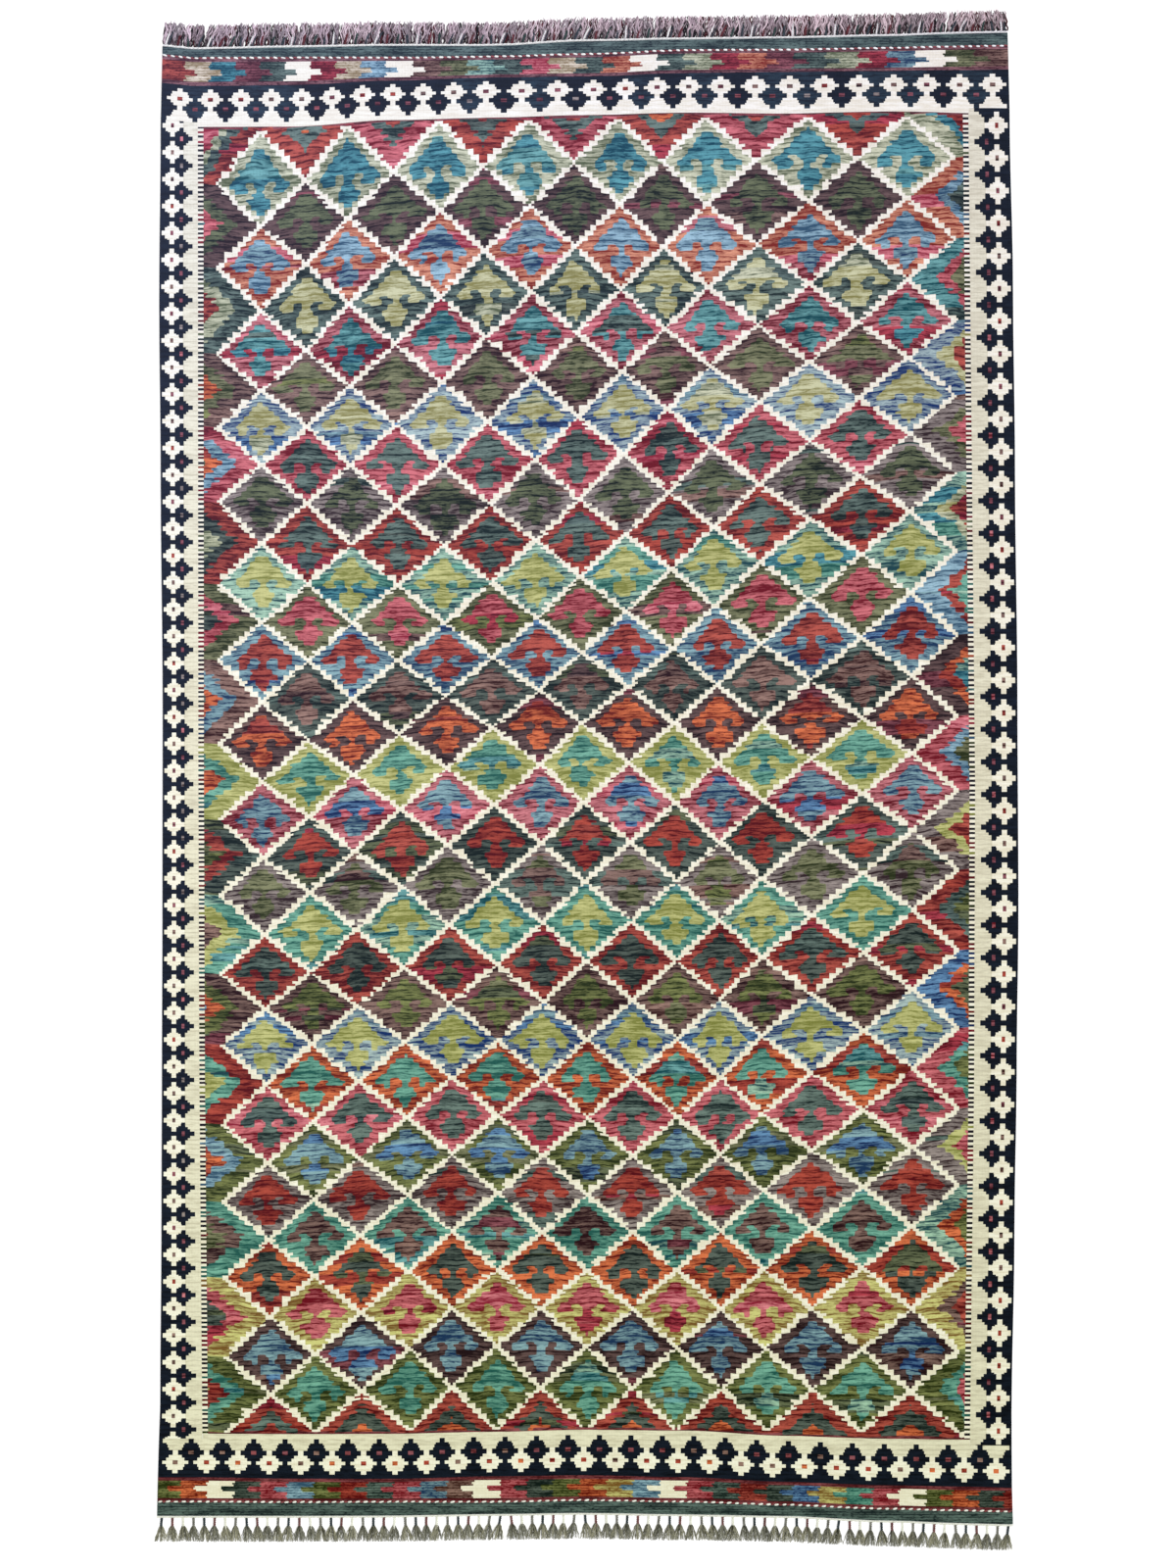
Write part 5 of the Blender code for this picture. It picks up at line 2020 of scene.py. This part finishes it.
@dataclass
class Twining:
    """The line of twining between the skirt and the colour blocks: white and dark red stitches."""

    ground: Ground
    spinner: Spinner
    end: End = End.TOP
    pitch: float = 15.8 * MM
    rings: int = 6
    stitch_long: float = 9.4 * MM
    stitch_thick: float = 2.5 * MM
    slant: float = 1.0 * MM
    flat: float = 0.42
    felt_at: float = 1.45                # how far along the rug its selvedges are felt
    side_margin: float = 5.5 * MM
    lift: float = 0.5 * MM
    blunt: float = 0.06                  # how thick a stitch stays at its ends, squared
    slant_share: tuple = (0.2, 1.3)
    shake: float = 0.3
    shade: float = 0.85
    yarns: tuple = ((Yarn.CORD_WHITE, 0.0, 1.0), (Yarn.DARK_RED, 0.5, 0.86))   # yarn, start, size

    def build(self) -> bpy.types.Object:
        """Make the line.

        Returns:
            The piece.
        """
        at = np.array([self.end.value * self.felt_at])
        low = float(self.ground.selvedge(Side.LEFT, at)[0]) + self.side_margin
        high = float(self.ground.selvedge(Side.RIGHT, at)[0]) - self.side_margin
        count = int((high - low) / self.pitch)
        luck = np.random.default_rng(SEED + 50 + self.end.value)
        along = np.linspace(-1.0, 1.0, self.rings)
        profile = np.sqrt(np.maximum(self.blunt, 1.0 - along ** 4))
        skeins = []
        for yarn, start, size in self.yarns:
            middle = low + self.pitch * (np.arange(count)[:, None] + start) * (high - low) / (
                (count - 0.5) * self.pitch)
            long = 0.5 * self.stitch_long * size * luck.uniform(*UNEVEN, (count, 1))
            x = middle + along * long
            tilt = self.slant * luck.uniform(*self.slant_share, (count, 1))
            y = self.ground.line(self.end, "skirt", x) - self.end.value * tilt * along
            y = y + luck.uniform(-self.shake, self.shake, (count, 1)) * MM
            z = np.full(x.shape, self.ground.thick + self.lift)
            radii = self.stitch_thick * profile * size * luck.uniform(*UNEVEN, (count, 1))
            skeins.append(Skein(np.stack((x, y, z), axis=-1), radii, np.full(count, YARN_CODE[yarn]),
                                np.full(x.shape, self.shade), self.flat))
        piece = self.spinner.piece("twined_line_" + self.end.name.lower(), skeins)
        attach(piece, "root")
        return piece


@dataclass
class Studio:
    """The white floor, soft light and the camera straight above."""

    floor_half: float = 6.0
    view_height: float = 3.168
    lens: float = 85.0
    sensor: float = 36.0
    look_at: tuple = (0.0005, -0.0102)
    sky: float = 0.80
    sun_strength: float = 1.35
    sun_turn: tuple = (math.radians(42.0), 0.0, math.radians(118.0))
    sun_soft: float = math.radians(12.0)
    paper: tuple = (0.9, 0.9, 0.9, 1.0)
    white: tuple = (1.0, 1.0, 1.0, 1.0)
    glow: float = 0.35
    far: float = 60.0

    def build(self) -> None:
        """Set the stage, the lights and the camera."""
        scene = bpy.context.scene
        mesh = bpy.data.meshes.new("floor")
        half = self.floor_half
        mesh.from_pydata([(-half, -half, 0), (half, -half, 0), (half, half, 0), (-half, half, 0)],
                         [], [(0, 1, 2, 3)])
        floor = bpy.data.objects.new("floor", mesh)
        scene.collection.objects.link(floor)
        paper = bpy.data.materials.new("white_paper")
        paper.use_nodes = True
        shader = paper.node_tree.nodes["Principled BSDF"]
        shader.inputs["Base Color"].default_value = self.paper
        shader.inputs["Roughness"].default_value = 1.0
        shader.inputs["Emission Color"].default_value = self.white
        shader.inputs["Emission Strength"].default_value = self.glow
        mesh.materials.append(paper)
        world = bpy.data.worlds.new("soft_sky")
        world.use_nodes = True
        backdrop = world.node_tree.nodes["Background"]
        backdrop.inputs["Strength"].default_value = self.sky
        backdrop.inputs["Color"].default_value = self.white
        scene.world = world
        sun = bpy.data.lights.new("window", "SUN")
        sun.energy = self.sun_strength
        sun.angle = self.sun_soft
        lamp = bpy.data.objects.new("window", sun)
        lamp.rotation_euler = self.sun_turn
        scene.collection.objects.link(lamp)
        camera = bpy.data.cameras.new("camera")
        camera.lens = self.lens
        camera.sensor_width = self.sensor
        camera.sensor_fit = "VERTICAL"
        camera.sensor_height = self.sensor
        camera.clip_end = self.far
        viewer = bpy.data.objects.new("camera", camera)
        height = self.view_height * self.lens / self.sensor
        viewer.location = (self.look_at[0], self.look_at[1], height)
        scene.collection.objects.link(viewer)
        scene.camera = viewer
        scene.view_settings.view_transform = "Standard"
        scene.view_settings.look = "None"


def write_sizes() -> None:
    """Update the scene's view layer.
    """
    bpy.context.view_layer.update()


def main() -> None:
    """Build the rug's pieces in order, then the stage."""
    logging.basicConfig(level=logging.INFO, format="%(name)s %(message)s")
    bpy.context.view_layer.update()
    ground = Ground()
    cockle = Cockle()
    # every loom lays painted light over its dyes
    loom = Loom(PaintedLightAndTone(), WoolFinish("kilim_wool_woven").make())
    diamonds = DiamondField(ground, cockle, loom)
    diamonds.build()
    panel_loom = Loom(PaintedLightAndTone(), WoolFinish("kilim_wool_ends", band_pitch=5.4 * MM, band_drift=0.35,
                                             streak_long=120.0, streak_fine=420.0).make())
    for end in End:
        EndBorder(ground, cockle, loom, end=end).build()
        EndPanel(ground, cockle, panel_loom, end=end).build()
    for side in Side:
        SideBorder(ground, cockle, loom, side=side, diamonds=diamonds).build()
    yarn = WoolFinish("fringe_yarn_plied", cloud_long=90.0, cloud_fine=900.0, cloud_strong=1.6,
                      shade_line_strong=0.0, streak_strong=0.0, rib_pitch=2.2 * MM, pick_pitch=0.5 * MM,
                      rib_deep=0.2 * MM).make()
    # the fringe's loom has a fainter painted veil of light
    spinner = Spinner(Loom(PaintedLightAndTone(painted_veil=(0.008, 0.009, 0.014)), yarn))
    for end in End:
        Twining(ground, spinner, end).build()
        Fringe(ground, spinner, end).build()
    Studio().build()
    write_sizes()


if __name__ == "__main__":
    main()
